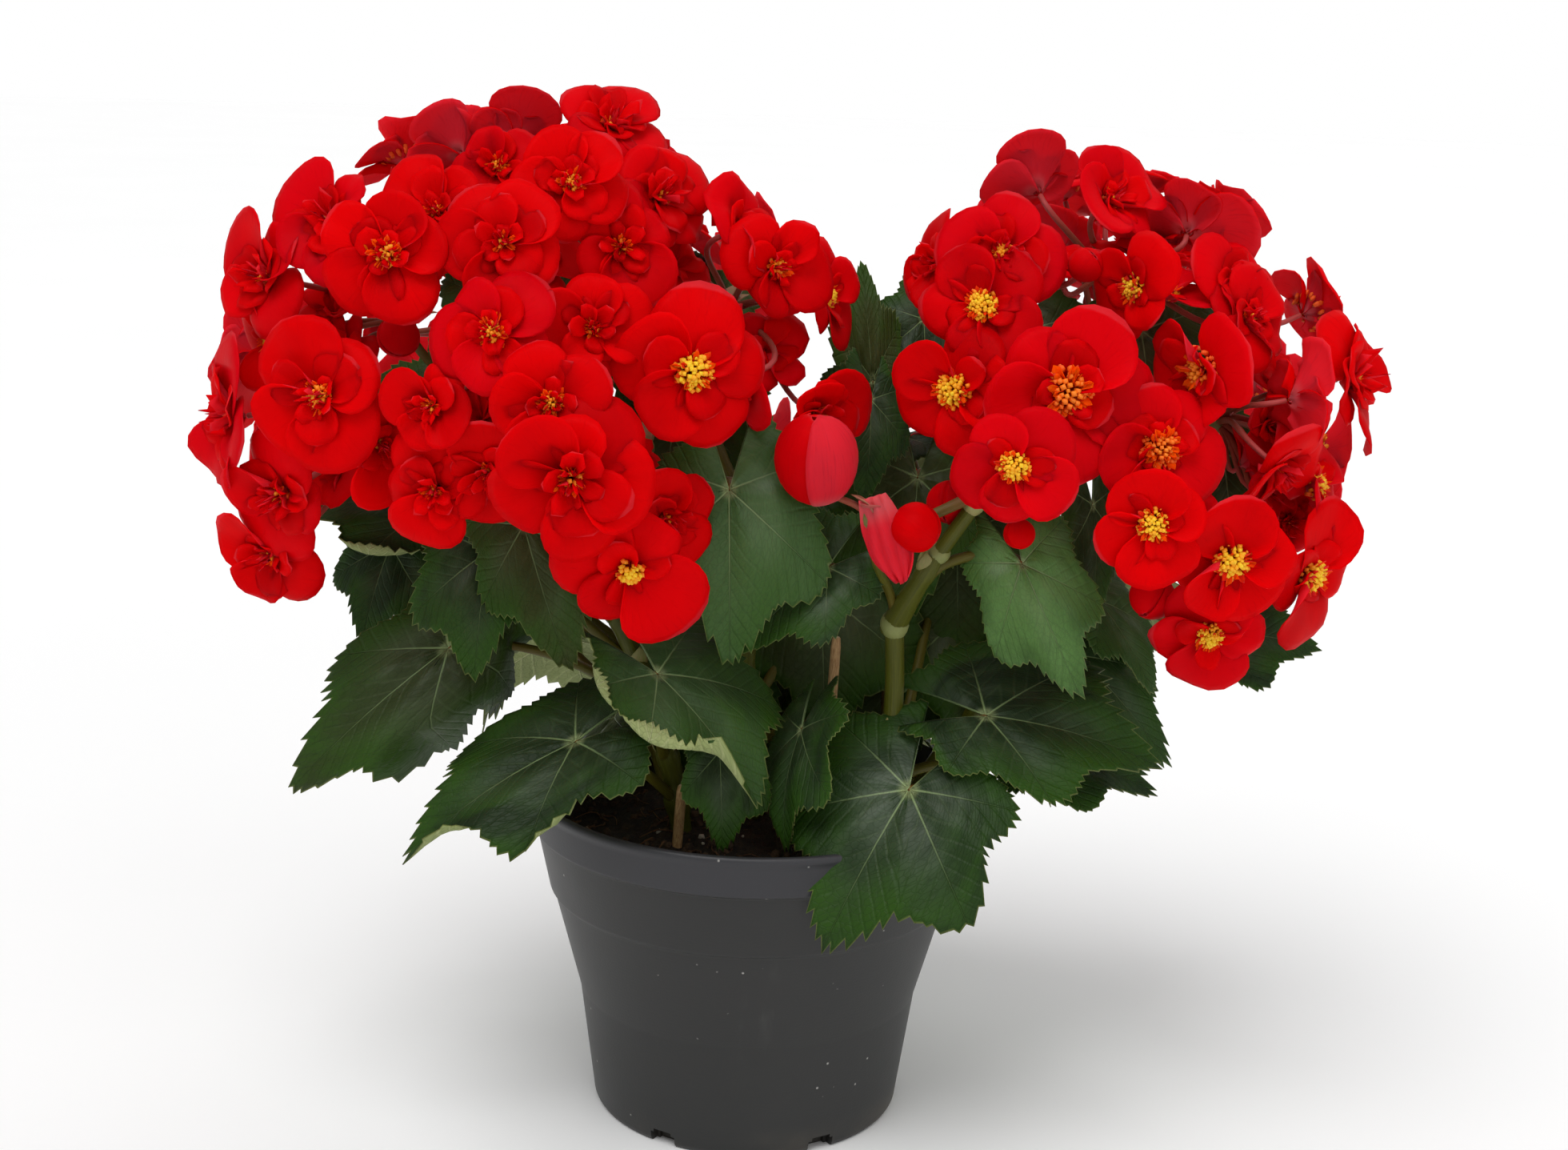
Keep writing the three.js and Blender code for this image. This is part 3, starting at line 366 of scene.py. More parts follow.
# The sprays: a hub, then blooms as (x, y, z, turn, rise, radius, cup, petals, heart). The heart is y for
# yellow anthers, s for fewer of them, o for a ring of orange tongues round them, g for golden ones among
# ruffled petals and r for ruffled petals. b is a closed bud and h a half-open one.
SPRAYS = {
    "left_top": ((-70, -4, 272), [
        (-78, -50, 309, 0, 22, 15, 30, 4, "g"), (-56, -62, 306, 8, 22, 18, 22, 5, "g"),
        (-48, -32, 320, 30, 50, 19, 25, 4, "r"), (-93, -20, 311, -150, 30, 18, 30, 4, "r"),
        (-77, -18, 315, -168, 34, 18, 26, 4, "r"), (-93, -60, 296, -12, 25, 19, 25, 4, "r"),
        (-73, -75, 290, 0, 18, 19, 22, 5, "r"), (-42, -58, 289, 10, 10, 19, 30, 4, "r")]),
    "left_upper_right": ((-12, -14, 266), [
        (-34, -42, 301, 40, 30, 21, 28, 4, "r"), (-14, -36, 291, 62, 24, 22, 50, 4, "r"),
        (1, -42, 283, 30, 5, 20, 35, 4, "g"), (15, -22, 272, 62, 12, 19, 36, 4, "y"),
        (-1, -48, 253, -62, -20, 20, 36, 4, "r"), (-20, -80, 257, 14, 4, 23, 18, 5, "y"),
        (14, -38, 240, 40, -10, 20, 34, 4, "r")]),
    "left_side": ((-112, -12, 258), [
        (-106, -72, 286, 4, 12, 21, 22, 5, "g"), (-124, -48, 291, -30, 25, 22, 34, 4, "r"),
        (-144, -44, 275, -45, 14, 21, 32, 4, "r"), (-144, -38, 257, -50, -4, 19, 34, 4, "y"),
        (-124, -74, 246, -12, 2, 23, 26, 4, "g"), (-154, -44, 234, -58, 0, 24, 30, 4, "r"),
        (-105, -60, 264, -10, -60, 8, 66, 3, "b")]),
    "left_front": ((-74, -36, 246), [
        (-74, -88, 267, -6, 12, 19, 22, 5, "g"), (-48, -80, 268, 10, 14, 19, 25, 4, "r"),
        (-57, -98, 250, 4, 6, 19, 22, 5, "g"), (-91, -84, 246, -14, 0, 16, 32, 4, "r"),
        (-112, -66, 232, 40, -6, 19, 45, 4, "r"), (-91, -82, 222, -6, -10, 18, 26, 4, "r"),
        (-76, -84, 229, 0, -20, 17, 32, 4, "r")]),
    "left_lower_right": ((-36, -36, 226), [
        (-51, -104, 231, 8, -2, 26, 20, 5, "r"), (-36, -90, 203, 10, -14, 23, 20, 4, "s"),
        (-28, -72, 214, 34, -12, 18, 26, 4, "r")]),
    "left_low_side": ((-112, -6, 222), [
        (-140, -50, 213, -30, -14, 22, 28, 4, "r"), (-146, -38, 192, -32, -16, 19, 32, 4, "r"),
        (-152, -4, 212, -92, -6, 22, 28, 4, "y"), (-158, 4, 244, -104, 6, 22, 28, 4, "g")]),
    "middle_buds": ((33, -68, 214), [
        (16.5, -64, 225, -14, 74, 16, 72, 3, "h"), (43, -70, 214, 60, -24, 10, 76, 3, "b")]),
    "right_lower_left": ((66, -38, 234), [
        (56, -66, 252, -22, 4, 21, 20, 5, "y"), (85, -80, 255, 6, 8, 25, 20, 5, "o"),
        (70, -96, 237, -2, -6, 19, 20, 5, "y"), (57, -52, 219, -20, -50, 9, 70, 3, "b"),
        (76, -64, 212, 10, -72, 6, 74, 3, "b")]),
    "right_upper_left": ((68, -10, 270), [
        (63, -60, 275, -18, 18, 20, 22, 5, "y"), (68, -52, 289, -6, 24, 20, 26, 4, "g"),
        (54, -24, 283, -58, 12, 17, 32, 4, "r"), (92, -50, 286, 20, 40, 7, 70, 3, "b")]),
    "right_front": ((112, -38, 220), [
        (112, -76, 239, 14, 8, 21, 24, 5, "o"), (111, -88, 220, -6, -4, 19, 20, 4, "y"),
        (135, -76, 208, 10, -10, 22, 22, 5, "y"), (134, -64, 183, -8, -22, 19, 26, 4, "y"),
        (118, -60, 194, -40, -50, 9, 64, 3, "b")]),
    "right_top": ((106, 2, 276), [
        (83, -4, 304, -160, 36, 21, 34, 4, "r"), (100, -20, 302, 40, 36, 21, 32, 4, "r"),
        (127, -16, 294, 170, 32, 21, 34, 4, "r"), (108, -56, 282, -46, -4, 18, 34, 4, "y"),
        (137, -30, 279, 50, 30, 20, 32, 4, "r"), (141, -38, 271, 40, 24, 18, 30, 4, "r")]),
    "right_side": ((142, -8, 236), [
        (165, -40, 196, 46, -10, 23, 26, 4, "y"), (155, -46, 249, 110, 10, 20, 30, 4, "r"),
        (176, -20, 252, 64, 16, 23, 28, 4, "r"), (150, -50, 232, 50, -30, 20, 34, 4, "r"),
        (165, -32, 220, 64, 24, 22, 30, 4, "y"), (128, -68, 261, -58, -12, 22, 32, 4, "o"),
        (176, 10, 224, 96, 0, 22, 28, 4, "y")]),
}

# Beside the round bud: where the crumpled petal starts and ends, which way it faces and how wide it is
CRUMPLED_PETAL = (np.array([32.5, -71, 221]), np.array([42.5, -72, 196]), facing(-24, 14), 14)

# The far side of each dome, by the rule in the part's source: the hub of its spray, the dome's middle and its
# size along x, y and z, how many blooms it has and the seed of their draw
BACK_SPRAYS = {
    "left_back": ((-76, 38, 248), (-76, 0, 240), (88, 94, 78), 15, 5),
    "right_back": ((110, 36, 246), (112, 0, 240), (72, 84, 66), 13, 8),
}


def far_blooms(centre, size, count, seed):
    """Blooms at even steps over the far side of a dome."""
    draw = seeded(seed)
    rows = []
    for i in range(count):
        rise = -22 + 98 * ((i + 0.5) / count) ** 0.9
        turn = 180 + 74 * (2 * (0.618 * (i + seed) % 1) - 1)
        x, y, z = centre + facing(turn, rise) * size
        radius, cup = 17 + 4 * next(draw), 24 + 12 * next(draw)
        rows.append((x, y, z, turn + 16 * (next(draw) - 0.5), rise, radius, cup, 4, "yro"[i % 3]))
    return rows


SPRAYS.update({name: (hub, far_blooms(*dome)) for name, (hub, *dome) in BACK_SPRAYS.items()})

# More blooms, in rows as in SPRAYS, which fill the crown of each dome and the gaps at its side
FILLING_BLOOMS = {
    "left_top": [
        (-108, 2, 288, -100, 62, 17, 28, 4, "r"), (-86, 12, 298, 176, 72, 18, 26, 4, "o"),
        (-56, 2, 300, 150, 76, 17, 30, 4, "r"), (-30, 10, 286, 120, 60, 17, 28, 4, "y")],
    "right_top": [
        (88, -32, 282, -30, 72, 16, 30, 4, "r"), (118, -36, 276, 24, 70, 16, 30, 4, "y"),
        (142, -4, 276, 110, 58, 17, 28, 4, "r")],
    "right_side": [(152, -27, 239, 34, 2, 14, 38, 4, "r"), (164, -18, 207, 16, 0, 14, 28, 4, "r")],
}


class Bloom:
    """The cupped surface that a bloom's petals follow: a turn and a reach on it, and a lift off it."""

    def __init__(self, row):
        self.centre = np.array(row[:3], float)
        self.out = facing(*row[3:5])
        self.right = -unit(np.cross(UP, self.out))
        self.above = np.cross(self.out, self.right)
        self.radius, self.slope = row[5], math.radians(row[6])

    def point(self, turn, reach, lift, steeper):
        """The points at these turns and reaches, with the surface made steeper by an angle."""
        share = reach / self.radius
        lean = self.slope * (1.25 - 0.5 * share) + steeper
        height = reach * np.sin(lean) + self.radius * (lift - 0.1 * share ** 3)
        flat = reach * np.cos(lean)
        return (self.centre + (flat * np.cos(turn))[..., None] * self.right
                + (flat * np.sin(turn))[..., None] * self.above + height[..., None] * self.out)


# The finishes by their place in a spray's list and in a stem's
PETAL, PETAL_BACK, ANTHER, STALK, SCALE = range(5)
LEAF_TOP, LEAF_UNDER, STEM, BRACT = range(4)

# The petals inside the outer ones by heart: how many, how long as a share of the bloom, how much steeper and
# how broad, in radians
WHORLS = {
    "y": ((3, 0.66, 0.12, 0.95),),
    "s": ((3, 0.6, 0.1, 1.0),),
    "o": ((3, 0.72, 0.14, 1.0), (3, 0.54, 0.35, 0.8)),
    "g": ((3, 0.74, 0.14, 1.0), (4, 0.54, 0.4, 0.8), (6, 0.4, 0.7, 0.62)),
    "r": ((4, 0.76, 0.16, 1.0), (5, 0.56, 0.45, 0.75), (6, 0.42, 0.85, 0.6)),
}
# The small tongue petals round the middle, the anthers inside them, how far the anthers and the tongues reach
# as shares of the bloom, and how orange both are
HEARTS = {"y": (15, 66, 0.24, 0.36, 0.1), "s": (9, 32, 0.16, 0.25, 0.1), "o": (18, 70, 0.32, 0.42, 1.2),
          "g": (14, 34, 0.17, 0.33, 0.7), "r": (14, 6, 0.09, 0.28, 0.8)}

# How finely petals are made: rows across and columns along
BROAD = {"near": (17, 9), "far": (13, 7), "inside": (11, 6)}
WHORL = {"near": (13, 7), "far": (9, 6), "inside": (9, 5)}
RUFFLE, TONGUE = (7, 5), (5, 4)

# An anther's length and width, as shares of its bloom's radius
ANTHER_SIZE = (0.14, 0.082)

# The knob where a spray's stalks meet, long and wide, and how far from its middle they end
KNOB, STEM_STALK_END, BLOOM_STALK_END = (8.6, 7.2), 2.88, 1.68
KNOB_BRACTS = 3
# A bloom's stalk: the steps along it, its radius at the bloom and at the knob, and the sides round it
OWN_STALK, FILLING_STALK, INSIDE_STALK = (12, (0.85, 1.1), 8), (10, (0.85, 1.1), 6), (8, (0.8, 1), 6)

# The two kinds of bract: the power that sets where it is broadest, how blunt its ends are, how it arches
# along its length and cups across it, how thick it is and its finish
FLOWER_BRACT = (0.7, 0.12, 0.12, 0.25, 0.4, SCALE)
STEM_BRACT = (0.6, 0.15, 0.1, -0.2, 0.35, BRACT)
STEM_BRACT_WIDTH = 5.2


def petal(growth, bloom, middle, long, spread, rng, size, *, steeper, ruffle, lift, hue, tilt=-0.06, curl=0):
    """One broad petal on its bloom's cupped surface, between `spread` radians to each side of its middle.
    `tilt` sets one side over the next petal, and `curl` bends its outer end back, or in where below 0."""
    rows, columns = size
    k = np.linspace(-1, 1, rows)
    ray = spread * np.sign(k) * (1 - (1 - np.abs(k)) ** 1.5)
    phase = rng.uniform(0, 2 * math.pi, 5)
    edge = long * np.cos(math.pi / 2 * 0.985 * np.abs(ray / spread)) ** 0.3
    edge *= 1 + 0.05 * np.sin(1.9 * k + phase[0]) + 0.02 * ruffle * np.sin(5.3 * k + phase[1])
    edge *= 1 - 0.07 * max(0, math.sin(phase[4])) * np.exp(-((k - 0.3 * math.cos(phase[4])) / 0.2) ** 2)
    u = np.linspace(0.07, 1, columns) ** 0.85
    reach = edge[:, None] * u
    across = (ray / spread)[:, None]
    wave = 0.04 * np.sin(4.2 * across + phase[2]) + 0.018 * ruffle * np.sin(9 * across + phase[3])
    rise = u * tilt * across + 0.08 * u ** 2 * across ** 2 + ruffle * wave * u ** 2.5 + lift * u
    rise = rise - curl * u ** 3.5 * (1 - 0.4 * np.sin(2 * across + phase[1])) - 0.03 * u ** 8
    sheet = bloom.point(middle + ray[:, None] * np.ones_like(u), reach, rise, steeper)
    thickness = 0.55 - 0.3 * np.ones_like(across) * u ** 3
    place = np.stack([np.ones_like(across) * u, across * np.ones_like(u), reach / long], 2)
    blade(growth, sheet, thickness, (PETAL, PETAL_BACK), place, (rng.uniform(0, 1), hue))


def stamens(growth, bloom, count, reach, orange, rng):
    """A small dome of anthers over the middle of the bloom."""
    for j in range(count):
        turn = j * GOLDEN_TURN + rng.uniform(-0.25, 0.25)
        share = math.sqrt((j + 0.5) / count) * rng.uniform(0.92, 1.08)
        radial = math.cos(turn) * bloom.right + math.sin(turn) * bloom.above
        height = bloom.radius * (0.14 + 0.15 * (1 - share ** 2) + rng.uniform(-0.02, 0.02))
        centre = bloom.centre + radial * reach * share + bloom.out * height
        axis = unit(bloom.out + radial * share * 0.6 + rng.uniform(-0.25, 0.25, 3))
        mark = (rng.uniform(0, 1), orange * (0.6 + 0.4 * share) + 4 * max(share - 0.8, 0), 0)
        size = bloom.radius * rng.uniform(0.85, 1.15)
        long, wide = [size * share for share in ANTHER_SIZE]
        bead(growth, centre, axis, long, wide, ANTHER, mark, sides=4, rings=2)


def outer_petals(growth, bloom, petals, spin, hue, size, rng):
    """The broad petals of a bloom. Of four, two that face each other are larger."""
    sector = 2 * math.pi / petals
    for i in range(petals):
        share = (1.09 if i % 2 == 0 else 0.92) if petals == 4 else rng.uniform(0.92, 1.08)
        spread = sector * (0.72 if petals == 4 else 0.8) * rng.uniform(0.92, 1.1) * share
        middle = spin + i * sector + rng.uniform(-0.14, 0.14)
        petal(growth, bloom, middle, bloom.radius * share * rng.uniform(0.96, 1.04), spread, rng, size,
              steeper=rng.uniform(-0.14, 0.18), tilt=-0.1, ruffle=rng.uniform(0.4, 1.7), lift=0.02,
              curl=rng.uniform(-0.12, 0.2), hue=hue)


def whorl(growth, bloom, ring, form, start, hue, size, rng):
    """A ring of lesser petals inside the broad ones."""
    many, long, steeper, spread = form
    for i in range(many):
        turn = start + i * 2 * math.pi / many + rng.uniform(-0.3, 0.3)
        reach = bloom.radius * long * rng.uniform(0.82, 1.12)
        petal(growth, bloom, turn, reach, spread * rng.uniform(0.8, 1.1), rng, size,
              steeper=steeper + rng.uniform(-0.1, 0.1), ruffle=1.2 + 0.6 * ring, lift=0.05 + 0.03 * ring,
              curl=rng.uniform(0, 0.12), hue=min(1, 0.4 * hue + 0.2 * ring))


def heart(growth, bloom, kind, fewer, rng):
    """The tongue petals and the anthers in the middle of a bloom."""
    tongues, anthers, cluster, ring, orange = HEARTS[kind]
    larger = rng.uniform(0.88, 1.1)
    for i in range(int(tongues * fewer)):
        turn = i * GOLDEN_TURN + rng.uniform(-0.2, 0.2)
        long = bloom.radius * ring * larger * rng.uniform(0.84, 1.14)
        petal(growth, bloom, turn, long, 0.21 + 0.06 * orange, rng, TONGUE, steeper=rng.uniform(0.15, 0.55),
              ruffle=0.8, tilt=0, lift=0.08, hue=1.3 + 0.4 * orange + rng.uniform(0, 0.5))
    stamens(growth, bloom, int(anthers * fewer), bloom.radius * cluster * larger, orange, rng)


def open_bloom(growth, row, spin, rng, depth):
    """A bloom of broad petals, lesser ones inside them, and its heart. One deep `inside` has a single ring of
    lesser petals and no heart."""
    bloom, petals, kind = Bloom(row), row[7], row[8]
    hue = rng.uniform(0, 1)
    outer_petals(growth, bloom, petals, spin, hue, BROAD[depth], rng)
    whorls = WHORLS[kind][:1] if depth == "inside" else WHORLS[kind]
    for ring, form in enumerate(whorls):
        start = spin + math.pi / petals + 1.3 * ring
        whorl(growth, bloom, ring, form, start, hue, RUFFLE if ring else WHORL[depth], rng)
    if depth != "inside":
        heart(growth, bloom, kind, 0.6 if depth == "far" else 1, rng)


def wrapped_petal(growth, bloom, radius, middle, wrap, shape, gape, hue, outer, rng):
    """A petal of a bud. It wraps round a flattened ball `shape` wide, deep and tall, from foot to tip."""
    k, u = np.linspace(1, -1, 17)[:, None], np.linspace(0.02, 1, 13)
    polar = math.pi * (0.03 + (0.97 - gape) * u * (1 - 0.1 * k ** 2))
    turn = middle + k * wrap * (1 - 0.25 * np.maximum(u - 0.7, 0))
    flare = 1 + gape * u ** 2 * (1.2 - k ** 2) + 0.02 * np.sin(5 * k + 3 * u)
    ball = radius * np.stack([shape[0] * flare * np.sin(polar) * np.cos(turn),
                              shape[1] * flare * np.sin(polar) * np.sin(turn),
                              0.35 - shape[2] * np.cos(polar)], 2)
    sheet = (bloom.centre + ball[..., :1] * bloom.right + ball[..., 1:2] * bloom.above
             + ball[..., 2:] * bloom.out)
    blade(growth, sheet, 0.45, (outer, PETAL), plain_place(k, u), (rng.uniform(0, 1), hue))


def closed_bud(growth, row, spin, rng):
    """A round bud: broad petals wrapped over each other."""
    bloom, hue = Bloom(row), rng.uniform(0.3, 0.9)
    for i, wrap in enumerate((1.62, 1.5, 1.4)):
        middle, radius = spin + i * math.pi + (0.5 if i > 1 else 0), row[5] * (1 - 0.035 * i)
        wrapped_petal(growth, bloom, radius, middle, wrap, (0.78, 0.7, 0.72), 0, hue, PETAL, rng)


def half_open_bud(growth, row, rng):
    """An upright bud: a pink petal on its right wraps over a red one on its left, with more behind them."""
    bloom = Bloom(row)
    for size, middle, wrap, gape, hue, outer in (
            (1.03, 146, 1.0, 0.03, 0.0, PETAL_BACK), (1.0, 30, 1.75, 0.02, 0.6, PETAL),
            (0.97, 265, 1.7, 0.02, 0.5, PETAL), (0.93, 100, 1.6, 0.0, 0.2, PETAL)):
        wrapped_petal(growth, bloom, row[5] * size, math.radians(middle), wrap, (0.74, 0.68, 0.86), gape, hue,
                      outer, rng)


def hanging_petal(growth, base, tip, face, width, rng):
    """A narrow crumpled petal that hangs open beside a bud."""
    k, u = across_and_along(17, 18)
    half = width / 2 * (0.35 + 0.65 * np.sin(math.pi * (0.12 + 0.6 * u))) * (1 - 0.6 * u ** 7)
    folds = (1.1 * np.sin(3.5 * math.pi * k + 3 * u) + 0.5 * np.sin(9 * k + 14 * u)) * (0.4 + u * 0.6)
    folds = folds + 1.6 * (1 - k ** 2) * np.sin(math.pi * u)
    strip(growth, base, tip, face, k, u, half, folds, 0.4, PETAL_BACK, (rng.uniform(0, 1), 0.3), blunt=0.06)


def flower_stalk(growth, row, hub, form, rng):
    """A red stalk from the back of a bloom to its spray's hub."""
    steps, width, sides = form
    out, centre = facing(*row[3:5]), np.array(row[:3], float)
    outward = unit(centre - hub)
    arrive = unit(-outward - 0.4 * UP)
    path = bend(centre - out * 0.45, -out, hub + outward * BLOOM_STALK_END, arrive, steps)
    tube(growth, path, np.linspace(*width, steps + 1), sides, STALK, (rng.uniform(0, 1), 0.75, 0))


def inside_bloom(growth, row, hub, rng):
    """A small bloom on a short stalk, deep in the spray behind the bloom of this row."""
    out = unit(facing(*row[3:5]) + 0.6 * UP + rng.uniform(-0.65, 0.65, 3))
    centre = hub + (np.array(row[:3]) - hub) * rng.uniform(0.45, 0.62) + rng.uniform(-6, 6, 3)
    turn, rise = math.degrees(math.atan2(out[0], -out[1])), math.degrees(math.asin(out[2]))
    radius, cup = rng.uniform(13, 17), rng.uniform(34, 50)
    inside = (*centre, turn, rise, radius, cup, 4, "ro"[int(rng.uniform(0, 1.5))])
    flower_stalk(growth, inside, hub, INSIDE_STALK, rng)
    open_bloom(growth, inside, rng.uniform(0, 6), rng, "inside")


def knob(growth, hub, rng):
    """The knob where a spray's stalks meet, with three bracts round it."""
    bead(growth, hub, UP, *KNOB, STALK, (0.2, 0.04, 0.3), sides=12, rings=7)
    for _ in range(KNOB_BRACTS):
        turn = rng.uniform(0, 360)
        tip = hub + facing(turn, rng.uniform(10, 60)) * rng.uniform(8, 12)
        bract(growth, hub, tip, facing(turn, 80), rng.uniform(5, 7), FLOWER_BRACT,
              (rng.uniform(0, 1), rng.uniform(0.2, 0.9)))


def spray(name, finishes):
    """A knob with its blooms and buds, the small blooms deep inside it, and those that fill its gaps."""
    hub, rows = SPRAYS[name]
    hub = np.array(hub, float)
    growth = Growth()
    rng = np.random.default_rng(sum(map(ord, name)))
    depth = "far" if name in BACK_SPRAYS else "near"
    knob(growth, hub, rng)
    for i, row in enumerate(rows):
        spin = 0.9 * i + row[0]
        flower_stalk(growth, row, hub, OWN_STALK, rng)
        if row[8] == "b":
            closed_bud(growth, row, spin, rng)
        elif row[8] == "h":
            half_open_bud(growth, row, rng)
        else:
            open_bloom(growth, row, spin, rng, depth)
    open_rows = [row for row in rows if row[8] not in "bh"]
    for row in open_rows if depth == "far" else open_rows[::2]:
        inside_bloom(growth, row, hub, rng)
    for row in FILLING_BLOOMS.get(name, []):
        flower_stalk(growth, row, hub, FILLING_STALK, rng)
        open_bloom(growth, row, rng.uniform(0, 6), rng, "far")
    if name == "middle_buds":
        hanging_petal(growth, *CRUMPLED_PETAL, rng)
    growth.piece(f"blooms_{name}", finishes, "petal", f"flowers_{name}")


# The teeth round a leaf's edge, and the steps from its hub out to them
FINE_LEAF = (58, (0.015, 0.1, 0.22, 0.36, 0.5, 0.62, 0.74, 0.86, 0.94, 1))
PLAIN_LEAF = (38, (0.015, 0.18, 0.38, 0.56, 0.74, 0.88, 1))
# A leaf's edge runs so many degrees to each side of its tip and has three side veins there
LEAF_SPREAD, SIDE_VEINS = 160, 3
# Where the points of a folded leaf lie, as shares of the way to the fold and on from it to the edge
INNER_STEPS, FOLDED_STEPS = np.array([0.02, 0.18, 0.4, 0.62, 0.82]), np.array([0, 0.16, 0.36, 0.62, 1])
# Over how many degrees a fold starts and ends, and how long its bend is, as a share of the leaf's length
FOLD_EASING, FOLD_BEND = 16, 0.08

# A stem: the steps between two rows of its spine, how much thicker it is where a leaf grows, as a share, and
# over what height, and the radii of a bare stalk at a third, at two thirds and at the end of its way
STEM_STEPS, SWELLING, SWELLING_HEIGHT, BARE_STALK_RADII = 14, 0.22, 2.6, (1.8, 1.5, 1.5)


def up_spine(spine, at):
    """The point on a spine at this row, or between two rows."""
    step = int(at)
    return np.array(spine[step][:3]) * (1 - at + step) + np.array(spine[step + 1][:3]) * (at - step)


def toothed_edge(teeth, long, lean, phase, rng):
    """The points round a leaf's edge: their turns, and how far out they lie without and with their teeth."""
    root = np.cumsum(rng.uniform(0.6, 1.4, teeth))
    root = np.concatenate([[0], root / root[-1]])
    step = np.diff(root)[:, None]
    near_side = root[:-1, None] < 0.5
    turn = (root[:-1, None] + step * np.where(near_side, [0, 0.7], [0, 0.3])).ravel()
    tooth = np.array([-0.5, 0.5]) * (step * teeth) ** 0.5 * rng.uniform(0.6, 1.4, (teeth, 1))
    turn, tooth = np.append(turn, 1) * 2 * LEAF_SPREAD - LEAF_SPREAD, np.append(tooth, -0.5)
    q = turn / LEAF_SPREAD * SIDE_VEINS
    heart = 0.6 + 0.4 * ((1 + np.cos(np.radians(turn))) / 2) ** 1.2
    smooth = long * heart * (1 + 0.14 * lean * np.sin(np.radians(turn)))
    lobes = 0.82 + 0.2 * np.abs(np.cos(math.pi * q)) ** 1.6
    bite = 0.05 * (1 + 0.4 * np.sin(3.7 * q + phase[1])) * tooth
    point = 0.1 * np.exp(-np.abs(turn) / 7) - 0.02
    return turn, smooth, smooth * (lobes + bite + point + 0.03 * np.sin(1.9 * q + phase[2]))


def folded_over(out, folds, turn, smooth, edge, bent):
    """Folds a leaf's edge over: how far out its points are along the leaf, how far they still reach from its
    hub, and how far the folds lift them. `bent` is how long a bend is."""
    reach, lift = out, 0
    for low, high, amount, first, last in folds:
        window = np.clip(np.minimum(turn - low, high - turn) / FOLD_EASING, 0, 1)
        theta = (amount * window ** 2 * (3 - 2 * window))[:, None] + 1e-6
        start = ((first + (last - first) * np.clip((turn - low) / (high - low), 0, 1)) * smooth)[:, None]
        start = np.minimum(start, 0.93 * edge)
        inside = (window > 0)[:, None]
        out = np.where(inside, np.hstack([start * INNER_STEPS, start + (edge - start) * FOLDED_STEPS]), out)
        band = np.maximum(out - start, 0)
        turned = np.minimum(band / bent, 1) * theta
        beyond = np.maximum(band - bent, 0)
        outward = bent * np.sin(turned) / theta + beyond * np.cos(theta)
        reach = np.where(inside, np.where(band > 0, start + outward, out), reach)
        lift = lift + np.where(inside, bent * (1 - np.cos(turned)) / theta + beyond * np.sin(theta), 0)
    return out, reach, lift


def leaf_stalk(growth, foot, hub, along, up, rng):
    """A leaf's stalk from under its hub down to the stem, with a bract on each side of its foot."""
    away = hub - foot
    away[2] = 0
    away = unit(away)
    leave, arrive = unit(-0.8 * up - 0.7 * along), unit(-0.8 * away - 0.7 * UP)
    path = bend(hub - up * 0.3, leave, foot + away * 1.2, arrive, 18)
    t = np.linspace(0, 1, 19)
    radii = 1.25 + 0.55 * t + 0.6 * np.maximum(t - 0.9, 0) * 10
    tube(growth, path, radii, 10, STEM, (rng.uniform(0, 1), 0.2, 0))
    for side in (-1, 1):
        turned = square_to(np.cross(away, UP) * side + 0.4 * UP, UP)
        base = foot + turned * 2.2
        tip = base + turned * 2.5 + rng.uniform(6, 9) * UP
        bract(growth, base, tip, turned, STEM_BRACT_WIDTH, STEM_BRACT, (rng.uniform(0, 1), 0.3))


def leaf(growth, spine, row, form, rng):
    """A toothed leaf, raised between its veins, on its stalk. `q` is a whole number on each main vein."""
    at, hub, tip, face, long, wide, lean, shade, *folds = row
    teeth, steps = form
    hub = np.array(hub, float)
    along = facing(*tip)
    up = square_to(facing(*face), along)
    aside = np.cross(up, along)
    phase = rng.uniform(0, 2 * math.pi, 6)
    turn, smooth, edge = toothed_edge(teeth, long, lean, phase, rng)
    edge = edge[:, None]
    out, reach, lift = folded_over(edge * np.array(steps), folds, turn, smooth, edge, FOLD_BEND * long)
    q, angle = (turn / LEAF_SPREAD * SIDE_VEINS)[:, None], np.radians(turn)[:, None]
    x, y = reach * np.cos(angle), reach * np.sin(angle) * wide
    share, vein = out / long, np.cos(2 * math.pi * q)
    height = 0.1 * share - 0.24 * share ** 2 - 0.03 * share * vein + 0.05 * np.abs(y / long)
    height = height + 0.035 * share ** 2 * np.sin(2.3 * q + phase[3])
    height = height + 0.02 * share ** 3 * np.sin(7 * q + phase[4])
    branches = np.sin(2 * math.pi * (share * 3.4 - 2.4 * np.abs((q + 0.5) % 1 - 0.5)))
    height = height + 0.007 * share ** 0.5 * branches * (1 - vein) / 2
    sheet = hub + x[..., None] * along + y[..., None] * aside + (long * height + lift)[..., None] * up
    u = out / edge
    place = np.stack([q / SIDE_VEINS * np.ones_like(u), share, u], 2)
    blade(growth, sheet, 0.85 - 0.5 * u ** 4, (LEAF_TOP, LEAF_UNDER), place, (rng.uniform(0, 1), shade))
    leaf_stalk(growth, up_spine(spine, at), hub, along, up, rng)


def spine_end(spine):
    """The top of a stem, and the way it points there."""
    end, before = np.array(spine[-1][:3], float), np.array(spine[-2][:3], float)
    return end, unit(end - before)


